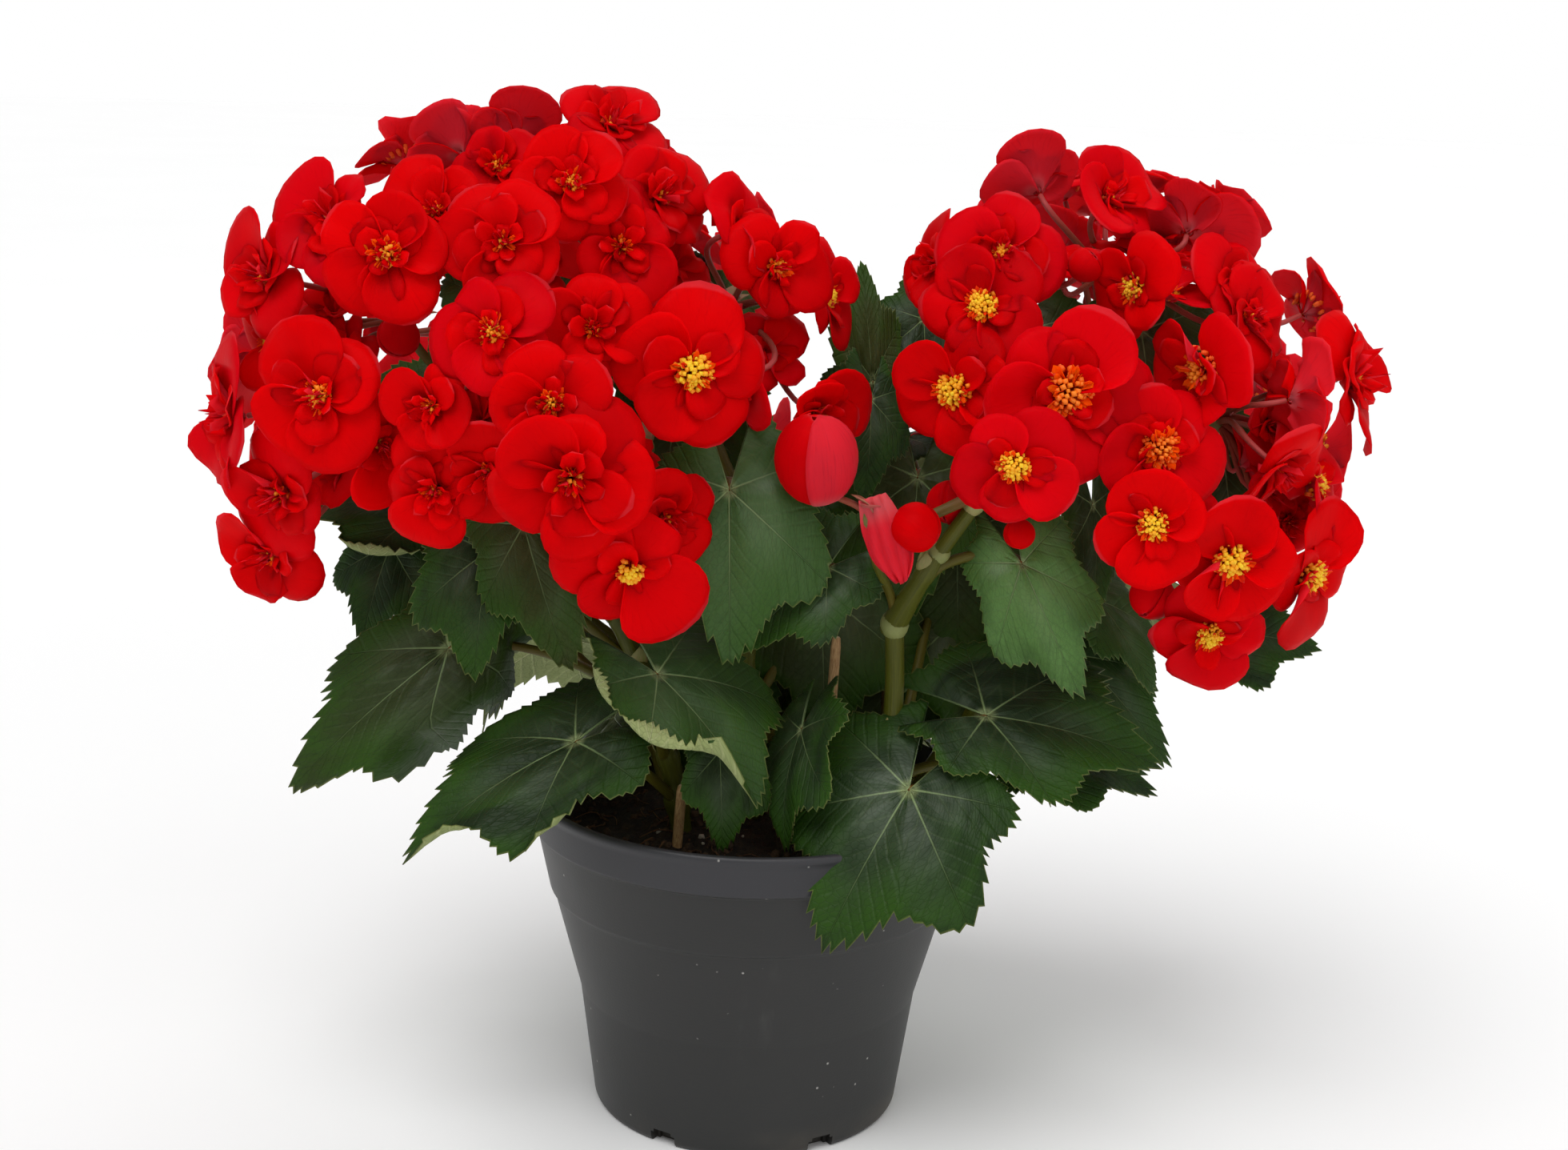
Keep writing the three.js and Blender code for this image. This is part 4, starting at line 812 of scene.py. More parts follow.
def bare_stalk(growth, spine, hub, rng):
    """The bare stalk from the top of a stem to the knob of a spray."""
    start, leave = spine_end(spine)
    arrive = unit(unit(hub - start) + 0.6 * UP)
    path = bend(start, leave, hub - arrive * STEM_STALK_END, arrive, 24)
    radii = np.interp(np.linspace(0, 1, 25), [0, 0.33, 0.67, 1], [spine[-1][3], *BARE_STALK_RADII])
    tube(growth, path, radii, 12, STEM, (rng.uniform(0, 1), 0.55, 0))


def leafy_stem(name, finishes):
    """A stem, thicker where leaves grow from it, with its leaves and the bare stalks of its sprays."""
    spine, leaves, stalks = LEAFY_STEMS[name]
    growth = Growth()
    rng = np.random.default_rng(sum(map(ord, name)) + 7)
    line = through(spine, STEM_STEPS)
    height, radii = line[:, 2], line[:, 3]
    for at in sorted({round(row[0], 2) for row in leaves}):
        off = (height - up_spine(spine, at)[2]) / SWELLING_HEIGHT
        radii = radii * (1 + SWELLING * np.exp(-off ** 2))
    tube(growth, line[:, :3], radii, 18, STEM, (rng.uniform(0, 1), 0, 0), lobes=0.02)
    for stalk in stalks:
        bare_stalk(growth, spine, np.array(SPRAYS[stalk][0], float), rng)
    bead(growth, *spine_end(spine), 9, 2 * spine[-1][3] + 2, STEM, (0.5, 0.2, 1), sides=14, rings=8)
    for at, wide in PALE_JOINTS.get(name, ()):
        low, top = up_spine(spine, at - 0.1), up_spine(spine, at + 0.1)
        middle, axis = (low + top) / 2, unit(top - low)
        bead(growth, middle, axis, wide * 1.1, wide, STEM, (0.5, 0, 0.7), sides=16, rings=9)
    if name in PALE_JOINTS:
        tube(growth, bend(*BUD_STALK, 20), np.linspace(1.5, 1.25, 21), 12, STEM, (rng.uniform(0, 1), 0.1, 0))
    for row in leaves:
        leaf(growth, spine, row, FINE_LEAF, rng)
    for row in INNER_LEAVES[name]:
        leaf(growth, spine, row, PLAIN_LEAF, rng)
    growth.piece(f"stem_{name}_with_leaves", finishes, "leaf", f"leafy_stem_{name}")


# The pot's section, as rows of radius and height: under its foot, up its outer wall and down to its floor
POT_FOOT = [(0, 1.2), (16, 1.2), (17, 0.6), (42, 0.6), (43.5, 0)]
POT_OUTSIDE = [(50, 0), (51, 1.5), (56.2, 40), (65.5, 74.5), (66.7, 75.5), (71.2, 96.2), (72.6, 97),
               (73.2, 106.5), (74, 108.4), (73.3, 110)]
POT_INSIDE = [(71.4, 110), (68.6, 97), (53.8, 40), (49, 3), (0, 3)]
POT_SIDES, POT_EASING, LONGEST_STEP = 144, 0.7, 12

# The drain notches at the foot: how many, the size of a cutter across, in and up, its middle before it is
# turned round the pot, the first one's turn in degrees, and how round its edges are
NOTCHES, NOTCH_SIZE, NOTCH_MIDDLE, NOTCH_TURN, NOTCH_EASING = 6, (9, 10, 7), (0, -51, 1.5), 30, 1.2


def rounded(profile, radius):
    """The profile with each corner eased by a short curve."""
    points = [np.array(p, float) for p in profile]
    eased = [points[0]]
    for before, corner, after in zip(points, points[1:], points[2:]):
        back, on = before - corner, after - corner
        cut = min(radius, np.linalg.norm(back) * 0.4, np.linalg.norm(on) * 0.4)
        a, b = corner + unit(back) * cut, corner + unit(on) * cut
        for t in (0, 0.33, 0.67, 1):
            eased.append((1 - t) ** 2 * a + 2 * t * (1 - t) * corner + t * t * b)
    return np.array(eased + [points[-1]])


def lathe(profile, sides):
    """The points and faces of a closed turned body, from a profile that starts and ends on the axis."""
    rings = [circle(r, z, sides) for r, z in profile[1:-1]]
    points = np.vstack([*rings, (0, 0, profile[0][1]), (0, 0, profile[-1][1])])
    return points, [[i for i in face if i >= 0] for face in pointed_faces(len(rings), sides).tolist()]


def pot_profile():
    """The pot's section with its corners eased and its long stretches divided."""
    profile = rounded([*POT_FOOT, *POT_OUTSIDE, *POT_INSIDE], POT_EASING)
    points = []
    for a, b in zip(profile, profile[1:]):
        steps = max(1, int(np.linalg.norm(b - a) // LONGEST_STEP))
        points += [a + (b - a) * t / steps for t in range(steps)]
    return np.array(points + [profile[-1]])


def drain_cutters():
    """Blocks with rounded edges where the drain notches go."""
    blocks = bmesh.new()
    size = Matrix.Diagonal((*[side * MM for side in NOTCH_SIZE], 1))
    for i in range(NOTCHES):
        turned = Matrix.Rotation(math.radians(NOTCH_TURN + 360 / NOTCHES * i), 4, "Z")
        place = turned @ Matrix.Translation(Vector(NOTCH_MIDDLE) * MM) @ size
        bmesh.ops.create_cube(blocks, size=1, matrix=place)
    bmesh.ops.bevel(blocks, geom=blocks.edges[:], offset=NOTCH_EASING * MM, segments=2, affect="EDGES")
    return from_bmesh("drain_cuts", blocks)


def from_bmesh(name, made):
    """The mesh of what was made, which is then set free."""
    mesh = bpy.data.meshes.new(name)
    made.to_mesh(mesh)
    made.free()
    return mesh


def moulded_pot(finish):
    """The turned pot with its drain notches cut."""
    points, faces = lathe(pot_profile(), POT_SIDES)
    mesh = bpy.data.meshes.new("pot_moulded")
    mesh.from_pydata(points * MM, [], faces)
    pot, cuts = stand("pot_blank", mesh), stand("drain_cuts", drain_cutters())
    cut = pot.modifiers.new("drain_notches", "BOOLEAN")
    cut.operation, cut.object, cut.solver = "DIFFERENCE", cuts, "EXACT"
    shaped = bpy.data.meshes.new_from_object(pot.evaluated_get(bpy.context.evaluated_depsgraph_get()))
    for thing in (pot, cuts):
        bpy.data.objects.remove(thing)
    shaped.name = "pot_moulded"
    shaped.shade_smooth()
    shaped.set_sharp_from_angle(angle=math.radians(38))
    shaped.materials.clear()
    hand_over("pot_moulded", shaped, [finish], "pot")


# The soil: the radii of its mound and the heights there, the radius of its surface, its sides and bottom as
# rows of radius and height, just clear of the pot, and how many crumbs and fibres lie on it, and how far out
MOUND = [0, 34, 67.5, 69], [102, 101, 98.2, 97]
SOIL_RADIUS = 68.2
SOIL_SKIRT = [(68.1, 96), (53.5, 40), (48.7, 3.3), (0.3, 3.3)]
SOIL_RINGS, SOIL_SIDES = 32, 96
CRUMBS, CRUMB_REACH = 380, 66
FIBRES, FIBRE_REACH, FIBRE_LIMIT = 150, 64, 67
# Its finishes by their place in their list
SOIL, CRUMB, FIBRE, GRIT = range(4)


def soil_height(x, y):
    """The height of the soil's rough surface over the pot's foot, in millimetres."""
    r = math.hypot(x, y)
    mound = np.interp(r, *MOUND)
    here = Vector((x, y, 3.7))
    rough = (2.2 * noise.noise(here * 0.055) + 1.6 * noise.noise(here * 0.16) + 0.9 * noise.noise(here * 0.45)
             + 0.45 * noise.noise(here * 1.1))
    return mound + rough * min(1.0, (70.5 - r) / 8)


def scatter(reach, rng):
    """A place on the soil, drawn evenly over a disc."""
    r, t = reach * math.sqrt(rng.uniform(0, 1)), rng.uniform(0, 2 * math.pi)
    return r * math.cos(t), r * math.sin(t)


def ground(growth):
    """The closed body of the soil, rough on top."""
    radii = SOIL_RADIUS * np.linspace(0.004, 1, SOIL_RINGS) ** 0.85
    top = [circle(r, 0, SOIL_SIDES) for r in radii]
    for ring in top:
        ring[:, 2] = [soil_height(x, y) for x, y, _ in ring]
    rings = [*top, *[circle(r, z, SOIL_SIDES) for r, z in SOIL_SKIRT]]
    walls = ring_faces(len(rings), SOIL_SIDES)[:, [0, 3, 2, 1]]
    s, end = np.arange(1, SOIL_SIDES - 1), (len(rings) - 1) * SOIL_SIDES
    faces = np.vstack([walls, fan(0, s, s + 1), fan(end, end + s + 1, end + s)])
    points = np.vstack(rings)
    growth.add(points, faces, SOIL, np.zeros_like(points), (0, 0, 0))


def crumb(growth, kind, rng):
    """A crumb or a piece of grit on the soil."""
    x, y = scatter(CRUMB_REACH, rng)
    size = rng.uniform(0.8, 3.4) * rng.uniform(0.5, 1)
    centre = np.array([x, y, soil_height(x, y) + size * 0.12])
    axis = unit(rng.normal(size=3))
    bead(growth, centre, axis, size * rng.uniform(1, 1.5), size, kind, (rng.uniform(0, 1), 0, 0))


def fibre(growth, rng):
    """A curved fibre that lies on the soil, a little arched."""
    x, y = scatter(FIBRE_REACH, rng)
    length, turn, curve = rng.uniform(4, 13), rng.uniform(0, 2 * math.pi), rng.uniform(-0.9, 0.9)
    share = np.linspace(0, 1, 7)
    path = []
    for t in share:
        heading = turn + curve * t
        px, py = x + length * t * math.cos(heading), y + length * t * math.sin(heading)
        limit = FIBRE_LIMIT / max(FIBRE_LIMIT, math.hypot(px, py))
        px, py = px * limit, py * limit
        path.append((px, py, soil_height(px, py) + 0.3 + 1.2 * math.sin(math.pi * t) * rng.uniform(0.2, 1)))
    radii = (0.14 + 0.16 * (1 - share)) * rng.uniform(0.7, 1.6)
    tube(growth, path, radii, 4, FIBRE, (rng.uniform(0, 1), 0, 0))


def soil_bed(finishes):
    """The soil with its crumbs, fibres and grit. Every 17th crumb is grit."""
    growth = Growth()
    rng = np.random.default_rng(31)
    ground(growth)
    for i in range(CRUMBS):
        crumb(growth, GRIT if i % 17 == 0 else CRUMB, rng)
    for _ in range(FIBRES):
        fibre(growth, rng)
    growth.piece("soil_bed", finishes, "soil", "soil")


STICK_RADIUS, STICK_WOBBLE = 1.6, 0.18


def cane(name, foot, top, finish):
    """A thin wooden stick, a little crooked, with a bevelled tip."""
    growth = Growth()
    foot, top = np.array(foot, float), np.array(top, float)
    t = np.linspace(0, 1, 40)
    path = foot + (top - foot) * t[:, None]
    path[:, 0] += STICK_WOBBLE * np.sin(7 * t)
    radii = STICK_RADIUS * (1 - 0.03 * np.sin(13 * t)) * np.where(t > 0.985, 0.8, 1)
    tube(growth, path, radii, 14, 0, (0.5, 0, 0))
    growth.piece(f"{name}_cane", [finish], "stick", name)


def colour(red, green, blue):
    """An sRGB colour of 0 to 255 as the linear colour that shaders take."""
    def linear(c):
        c /= 255
        return c / 12.92 if c <= 0.04045 else ((c + 0.055) / 1.055) ** 2.4
    return (linear(red), linear(green), linear(blue), 1.0)


def sum_node(operation, turned=False):
    """A Wire's method that adds a Math node. Where turned, the other value comes first."""
    def method(self, *others):
        values = (*others, self) if turned else (self, *others)
        return self.finish.node("ShaderNodeMath", {"operation": operation}, dict(enumerate(values)))
    return method


class Wire:
    """A socket of a finish's nodes. Arithmetic on it adds Math nodes. `part` is what is left after the whole
    number, `size` is without its sign, and `most` is the larger of two."""

    def __init__(self, finish, socket):
        self.finish, self.socket = finish, socket

    __add__ = __radd__ = sum_node("ADD")
    __sub__ = sum_node("SUBTRACT")
    __rsub__ = sum_node("SUBTRACT", turned=True)
    __mul__ = __rmul__ = sum_node("MULTIPLY")
    __truediv__ = sum_node("DIVIDE")
    __pow__ = sum_node("POWER")
    size = sum_node("ABSOLUTE")
    sine = sum_node("SINE")
    part = sum_node("FRACT")
    most = sum_node("MAXIMUM")

    def step(self, low, high):
        """A soft step from 0 at low to 1 at high, or the other way down where low is above high."""
        if low > high:
            return 1 - self.step(high, low)
        return self.finish.node("ShaderNodeMapRange", {"interpolation_type": "SMOOTHSTEP"},
                                {"Value": self, "From Min": low, "From Max": high})


class Finish:
    """A material in the making. Each method adds one node and gives the wire that leaves it."""

    def __init__(self, name):
        self.material = bpy.data.materials.new(name)
        self.material.use_nodes = True
        self.tree = self.material.node_tree
        self.tree.nodes.clear()

    def node(self, kind, settings=None, sockets=None, output=0):
        """Adds a node with these settings, and with values or wires on its sockets."""
        made = self.tree.nodes.new(kind)
        for key, value in (settings or {}).items():
            setattr(made, key, value)
        for key, value in (sockets or {}).items():
            if isinstance(value, Wire):
                self.tree.links.new(value.socket, made.inputs[key])
            else:
                made.inputs[key].default_value = value
        return Wire(self, made.outputs[output])

    def mix(self, share, first, second):
        settings = {"data_type": "RGBA", "clamp_factor": True}
        return self.node("ShaderNodeMix", settings, {0: share, 6: first, 7: second}, 2)

    def noise(self, where, scale, detail=3.0, roughness=0.5):
        return self.node("ShaderNodeTexNoise", None,
                         {"Vector": where, "Scale": scale, "Detail": detail, "Roughness": roughness})

    def cells(self, where, scale, feature="F1"):
        return self.node("ShaderNodeTexVoronoi", {"feature": feature}, {"Vector": where, "Scale": scale})

    def read(self, name):
        """The three numbers of a vertex attribute."""
        vector = self.node("ShaderNodeAttribute", {"attribute_name": name}, None, 1)
        return self.split(vector)

    def split(self, vector):
        """The x, y and z of a vector."""
        return [self.node("ShaderNodeSeparateXYZ", None, {0: vector}, i) for i in range(3)]

    def join(self, x, y, z=0.0):
        return self.node("ShaderNodeCombineXYZ", None, {0: x, 1: y, 2: z})

    def where(self):
        """The object's own coordinates, in metres."""
        return self.node("ShaderNodeTexCoord", None, None, 3)

    def relief(self, height, distance, strength=1.0):
        sockets = {"Strength": strength, "Distance": distance, "Height": height}
        return self.node("ShaderNodeBump", None, sockets)

    def surface(self, sockets):
        """Ends the material in a Principled shader with these values and links."""
        shader = self.node("ShaderNodeBsdfPrincipled", None, sockets)
        out = self.tree.nodes.new("ShaderNodeOutputMaterial")
        self.tree.links.new(shader.socket, out.inputs["Surface"])
        return self.material


def petal_finish(name, back):
    """Velvety scarlet with fine veins that fan out to the edge, pinker on its back. Its base is darkened as
    painted shade, and a thin pale pink line on its rim is a painted highlight.
    """
    f = Finish(name)
    along, across, reach = f.read("place")
    tint, hue, _ = f.read("mark")
    fan = f.join(across * 9, along * 1.6, tint * 40)
    veins = f.noise(fan, 2.4, 4, 0.6)
    cloud = f.noise(f.where(), 70, 2)
    scarlet, deep, pink = colour(226, 0, 4), colour(188, 0, 5), colour(206, 4, 24)
    tone = f.mix((cloud * 0.6 + tint * 0.5).step(0.35, 0.95), scarlet, deep)
    # Painted shade: the petal darkens towards its base, where the petals overlap in the cup.
    tone = f.mix(along.step(0.5, 0.1) * 0.4, tone, colour(160, 0, 8))
    tone = f.mix((hue - 0.4).step(0.0, 0.6) * 0.45, tone, pink)
    tone = f.mix(hue.step(1.1, 1.9), tone, colour(255, 74, 2))
    if back:
        tone = f.mix(0.62, tone, colour(234, 46, 62))
        tone = f.mix(veins.step(0.5, 0.75) * 0.3, tone, colour(170, 14, 36))
        tone = f.mix(along.step(0.35, 0.12) * 0.6, tone, colour(214, 96, 100))
    else:
        tone = f.mix(veins.step(0.52, 0.78) * 0.22, tone, colour(160, 0, 6))
    # Painted highlight: a thin pale pink line along the rim of the petal.
    edge = f.mix(reach.step(0.965, 1.0) * 0.4, tone, colour(228, 56, 66))
    height = veins * 0.35 + f.noise(f.where(), 900, 3) * 0.25
    return f.surface({
        "Base Color": edge, "Roughness": veins * 0.12 + 0.46, "Normal": f.relief(height, 0.00025, 0.6),
        "Sheen Weight": 0.02, "Sheen Roughness": 0.4, "Sheen Tint": colour(255, 20, 24),
        "Specular IOR Level": 0.02, "Subsurface Weight": 0.45, "Subsurface Radius": (0.004, 0.0003, 0.0003),
        "Subsurface Scale": 1.0,
    })


def anther_finish():
    """Yellow pollen on little lobes, orange towards the rim of the cluster, and darker at the foot of each
    lobe as painted shade between them.
    """
    f = Finish("yellow_anthers")
    along, _, _ = f.read("place")
    tint, orange, _ = f.read("mark")
    tone = f.mix(tint, colour(255, 220, 34), colour(255, 176, 8))
    tone = f.mix(orange * 0.85, tone, colour(255, 92, 3))
    # Painted shade: each anther darkens to orange-brown at its foot, in the gaps between the anthers.
    tone = f.mix(along.step(0.5, 0.05) * 0.8, tone, colour(216, 84, 2))
    grain = f.noise(f.where(), 2600, 2)
    return f.surface({"Base Color": f.mix(grain.step(0.4, 0.7) * 0.2, tone, colour(216, 140, 4)),
                      "Roughness": grain * 0.2 + 0.5, "Normal": f.relief(grain, 0.0002)})


def stalk_finish(name, redness):
    """Juicy green stalks, flushed red where they carry a bloom, with fine streaks along them."""
    f = Finish(name)
    along, around, _ = f.read("place")
    tint, flush, swollen = f.read("mark")
    streaks = f.noise(f.join(around * 3, along * 5, tint * 20), 2.2, 3)
    green = f.mix(streaks, colour(54, 57, 8), colour(92, 95, 24))
    pale = f.mix(swollen * 0.75, green, colour(160, 168, 108))
    red = f.mix(streaks, colour(150, 40, 44), colour(196, 88, 84))
    tone = f.mix((flush * redness + along.step(0.6, 0.0) * flush) * 0.8, pale, red)
    bumps = f.cells(f.where(), 1400)
    return f.surface({"Base Color": tone, "Roughness": streaks * 0.2 + 0.34,
                      "Normal": f.relief(bumps * 0.4 + streaks, 0.0002, 0.6), "Specular IOR Level": 0.22,
                      "Subsurface Weight": 0.1, "Subsurface Radius": (0.002, 0.003, 0.0006),
                      "Subsurface Scale": 1.0})


def scale_finish(name, first, second):
    """A veined bract, between two colours."""
    f = Finish(name)
    along, across, _ = f.read("place")
    tint, flush, _ = f.read("mark")
    veins = f.noise(f.join(across * 7, along * 2, tint * 30), 2, 3)
    tone = f.mix((veins + flush - 0.3).step(0.2, 1.0), first, second)
    return f.surface({"Base Color": tone, "Roughness": veins * 0.2 + 0.4,
                      "Normal": f.relief(veins, 0.0002, 0.7)})


def leaf_finish(name, under):
    """A begonia leaf: seven veins fan out from the hub, side veins branch off them, and a fine net lies
    between. The upper side is dark and glossy, the under side pale and matt; on olive leaves the under side
    is darkened as painted shade, for the leaves deep inside the plant."""
    f = Finish(name)
    turn, reach, share = f.read("place")
    tint, shade, _ = f.read("mark")
    q = turn * SIDE_VEINS + 0.5
    off = (q.part() - 0.5).size()
    aside = off * reach * 0.93
    main = (aside / (0.0095 - share * 0.006)).step(1.5, 0.4)
    comb = (reach - aside * 1.25) * 8.5 + tint * 3 + f.noise(f.join(q * 2, reach * 4, tint * 9), 1.5) * 0.5
    near = (comb.part() - 0.5).size()
    side = near.step(0.19, 0.0) * reach.step(0.06, 0.3) * (1 - off * 0.6)
    spot = f.join(q * reach * 1.2, reach * 1.3, tint * 17)
    net = f.cells(spot, 17, "DISTANCE_TO_EDGE").step(0.09, 0.0)
    cloud = f.noise(f.join(q * reach, reach, tint * 31), 2.2, 3)
    fleck = f.noise(f.where(), 520, 2)
    bright = shade.step(0.1, 1.1)
    olive_and_deep_shade = shade.step(0.0, -0.9)
    if under:
        tone = f.mix(cloud, colour(124, 138, 84), colour(158, 166, 112))
        tone = f.mix(main * 0.8 + side * 0.35, tone, colour(186, 190, 140))
        tone = f.mix(net * 0.25, tone, colour(98, 112, 64))
        # Painted shade: the more olive the leaf, the darker its under side, as if shaded deep inside the plant.
        tone = f.mix(olive_and_deep_shade * 0.8, tone, colour(54, 64, 30))
        height = main * 1.6 + side * 0.5 + net * 0.2
        rough, coat = 0.62, 0.0
    else:
        dark = f.mix(cloud.step(0.3, 0.7), colour(22, 40, 14), colour(38, 60, 26))
        dark = f.mix(bright, dark, f.mix(cloud, colour(72, 112, 50), colour(98, 138, 66)))
        dark = f.mix(olive_and_deep_shade * 0.85, dark, f.mix(cloud, colour(46, 54, 14), colour(70, 76, 26)))
        tone = f.mix(share.step(0.3, 1.0) * cloud.step(0.25, 0.6) * 0.85, dark, colour(38, 72, 3))
        tone = f.mix(net * 0.16 + fleck.step(0.6, 0.75) * 0.15, tone, colour(20, 38, 14))
        fading = (1 - share * 1.25).most(0) ** 1.3
        tone = f.mix(main * (fading * 0.85 + 0.05) + side * fading * 0.14, tone, colour(128, 150, 98))
        tone = f.mix(reach.step(0.09, 0.01) * 0.8, tone, colour(150, 164, 112))
        height = 1.0 - main * 1.3 - side * 0.5 - net * 0.16 + fleck * 0.1
        rough, coat = 0.44, share.step(0.95, 0.3) * cloud.step(0.3, 0.72) * 0.5 + bright * 0.35
    tone = f.mix(share.step(0.982, 1.0) * 0.5, tone, colour(124, 130, 72))
    return f.surface({"Base Color": tone, "Roughness": fleck * 0.16 + rough + net * 0.06,
                      "Normal": f.relief(height, 0.0006, 0.75), "Coat Weight": coat, "Coat Roughness": 0.4,
                      "Specular IOR Level": 0.18})


def pot_finish():
    """Dark grey moulded plastic: a faint grain, mould rings, light scuffs up the wall and specks of dust."""
    f = Finish("dark_grey_moulded_plastic")
    where = f.where()
    x, y, z = f.split(where)
    cloud = f.noise(where, 26, 4)
    streak = f.noise(f.join(x * 60, y * 60, z * 7), 1.0, 4, 0.65)
    grain = f.noise(where, 1500, 2)
    speck = f.cells(where, 190)
    rare = f.noise(where, 240, 0)
    dust = speck.step(0.11, 0.03) * rare.step(0.6, 0.68)
    scuff = streak.step(0.6, 0.78) * cloud.step(0.45, 0.7)
    rim = z.step(0.0965, 0.0975)
    tone = f.mix(cloud, colour(31, 32, 31), colour(42, 42, 41))
    tone = f.mix(rim * 0.6, tone, colour(53, 53, 58))
    tone = f.mix(scuff * 0.35, tone, colour(82, 82, 80))
    tone = f.mix(z.step(0.012, 0.0) * cloud.step(0.4, 0.7) * 0.5, tone, colour(84, 76, 64))
    tone = f.mix(dust * 0.8, tone, colour(176, 174, 168))
    rings = (z * 5200).sine()
    return f.surface({"Base Color": tone, "Roughness": cloud * 0.18 + scuff * 0.15 + 0.36,
                      "Normal": f.relief(grain * 0.5 + rings * 0.03 + streak * 0.6 + dust, 0.00012, 0.6),
                      "Specular IOR Level": 0.38})


def soil_finish(name, dark, light, scale):
    """Dull lumps between two colours, so many to the metre, with a finer grain in them."""
    f = Finish(name)
    tint, _, _ = f.read("mark")
    lumps = f.noise(f.where(), scale, 5, 0.65)
    fine = f.noise(f.where(), scale * 5, 3)
    tone = f.mix((lumps + tint * 0.3).step(0.35, 0.85), dark, light)
    tone = f.mix(fine.step(0.58, 0.74) * 0.4, tone, light)
    return f.surface({"Base Color": tone, "Roughness": fine * 0.15 + 0.8,
                      "Normal": f.relief(lumps + fine * 0.5, 0.0012)})


def cane_finish():
    """Pale split wood with a grain along it, greyer and damp near the soil and lighter at the cut tip."""
    f = Finish("light_wood_grain")
    along, around, _ = f.read("place")
    grain = f.noise(f.join(around * 1.6, along * 14, 2.0), 3.2, 5, 0.6)
    fine = f.noise(f.join(around * 6, along * 60, 5.0), 3, 3)
    tone = f.mix(grain.step(0.3, 0.75), colour(200, 164, 112), colour(148, 106, 62))
    tone = f.mix(along.step(0.5, 0.35) * 0.7, tone, colour(92, 66, 42))
    tone = f.mix(along.step(0.955, 0.985) * 0.8, tone, colour(222, 204, 170))
    return f.surface({"Base Color": tone, "Roughness": fine * 0.2 + 0.58,
                      "Normal": f.relief(grain + fine * 0.5, 0.0004)})


# The windows of a white room: the turn and rise of their light, its strength and how widely it spreads, in
# degrees. Then how strong the walls' own light is, and the floor's radius in metres.
WINDOWS = {"high_window": (-25, 62, 1.75, 40), "front_window": (35, 30, 0.5, 60),
           "back_window": (160, 48, 0.5, 60)}
WALL_LIGHT, FLOOR_RADIUS = 0.38, 9


def plain_floor():
    """A pale flat disc that the pot stands on."""
    disc = bmesh.new()
    bmesh.ops.create_circle(disc, cap_ends=True, segments=96, radius=FLOOR_RADIUS)
    mesh = from_bmesh("pale_floor", disc)
    f = Finish("pale_floor_paint")
    tone = f.mix(f.noise(f.where(), 3, 2), (0.95, 0.95, 0.95, 1), (0.98, 0.98, 0.98, 1))
    mesh.materials.append(f.surface({"Base Color": tone, "Roughness": 0.8}))
    floor = stand("pale_floor", mesh)


def soft_sun(name, turn, rise, strength, spread):
    """Even light from one side, soft as from a large window."""
    lamp = bpy.data.lights.new(name, "SUN")
    lamp.energy, lamp.angle = strength, math.radians(spread)
    holder = stand(name, lamp)
    holder.rotation_mode = "QUATERNION"
    holder.rotation_quaternion = (-Vector(facing(turn, rise))).to_track_quat("-Z", "Y")


def white_room():
    """Its walls show pure white but shed a milder light, so that the plant keeps its shadows."""
    world = bpy.data.worlds.new("white_room")
    world.use_nodes = True
    nodes, links = world.node_tree.nodes, world.node_tree.links
    glow, wall = nodes["Background"], nodes.new("ShaderNodeBackground")
    for background, strength in ((glow, WALL_LIGHT), (wall, 1.0)):
        background.inputs["Strength"].default_value = strength
        background.inputs["Color"].default_value = (1, 1, 1, 1)
    seen, either = nodes.new("ShaderNodeLightPath"), nodes.new("ShaderNodeMixShader")
    links.new(seen.outputs["Is Camera Ray"], either.inputs[0])
    links.new(glow.outputs[0], either.inputs[1])
    links.new(wall.outputs[0], either.inputs[2])
    links.new(either.outputs[0], nodes["World Output"].inputs["Surface"])
    bpy.context.scene.world = world


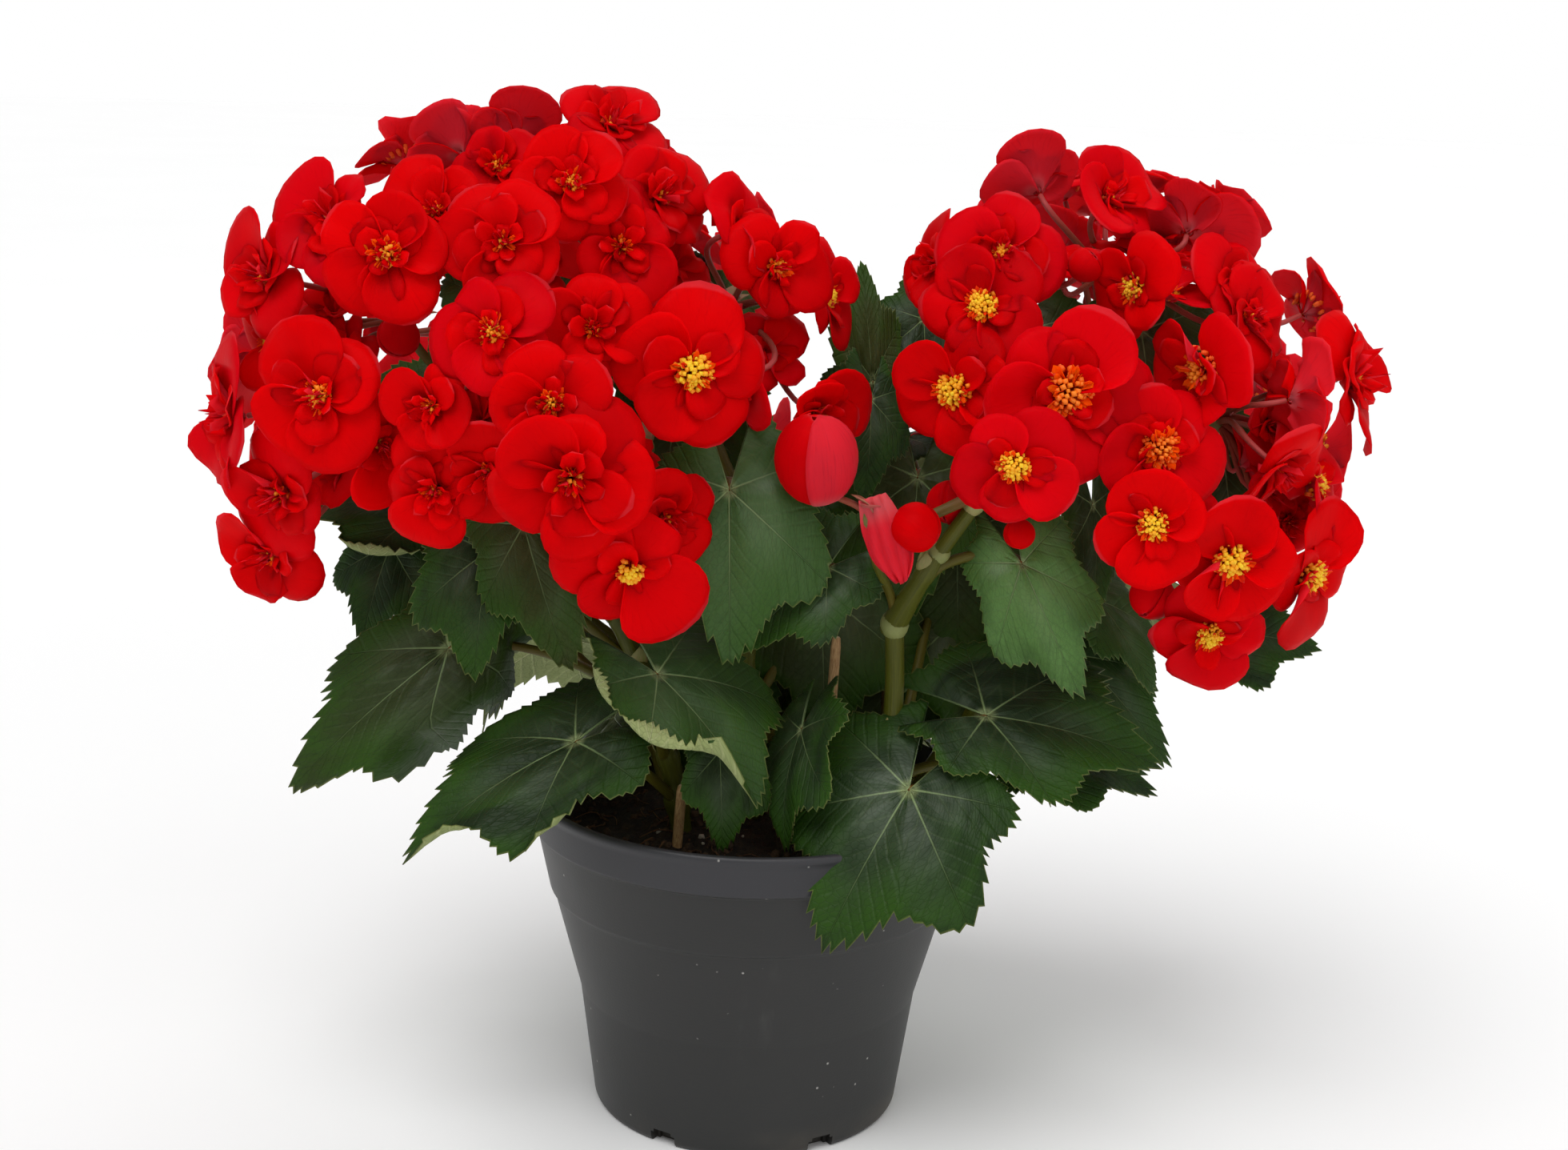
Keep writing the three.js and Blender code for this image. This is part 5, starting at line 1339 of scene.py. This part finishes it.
def studio():
    """The floor, the light and plain colours, as in a photograph on white."""
    plain_floor()
    for name, window in WINDOWS.items():
        soft_sun(name, *window)
    white_room()
    bpy.context.scene.view_settings.view_transform = "Standard"


# The camera: its place, how far it looks down and leans, in degrees, its lens and the width of its picture
CAMERA_PLACE, LOOKS_DOWN, LEANS, LENS, SENSOR = (7.9, -703.7, 350.4), 13.63, 1.84, 51.43, 36.0


def photograph_camera():
    """Stands where the photograph was taken from: a little above, looking down, with a slight lean."""
    data = bpy.data.cameras.new("photograph_camera")
    data.sensor_width, data.lens = SENSOR, LENS
    data.clip_start, data.clip_end = 0.01, 50
    camera = stand("photograph_camera", data)
    turned = (Matrix.Rotation(math.pi / 2 - math.radians(LOOKS_DOWN), 4, "X")
              @ Matrix.Rotation(math.radians(LEANS), 4, "Z"))
    camera.matrix_world = Matrix.Translation(Vector(CAMERA_PLACE) * MM) @ turned
    bpy.context.scene.camera = camera


photograph_camera()
studio()

moulded_pot(pot_finish())
soil_bed([
    soil_finish("dark_damp_soil", colour(26, 19, 12), colour(70, 54, 36), 260),
    soil_finish("peat_crumbs", colour(32, 23, 15), colour(88, 66, 44), 420),
    soil_finish("reddish_fibres", colour(78, 52, 32), colour(124, 88, 56), 700),
    soil_finish("pale_grit", colour(166, 156, 136), colour(214, 206, 190), 500),
])
wood = cane_finish()
cane("stick_left", (-25, -40, 50), (-22, -38, 120), wood)
cane("stick_right", (22, -18, 50), (25, -21, 165), wood)

leaf_finishes = [
    leaf_finish("leaf_upper_side", False), leaf_finish("leaf_under_side", True),
    stalk_finish("green_stem", 0.25), scale_finish("stem_bracts", colour(112, 122, 52), colour(150, 120, 84)),
]
for name in LEAFY_STEMS:
    leafy_stem(name, leaf_finishes)

bloom_finishes = [
    petal_finish("scarlet_petal", False), petal_finish("petal_back", True), anther_finish(),
    stalk_finish("flower_stalk", 1.0),
    scale_finish("flower_bracts", colour(120, 118, 60), colour(176, 84, 78)),
]
for name in SPRAYS:
    spray(name, bloom_finishes)
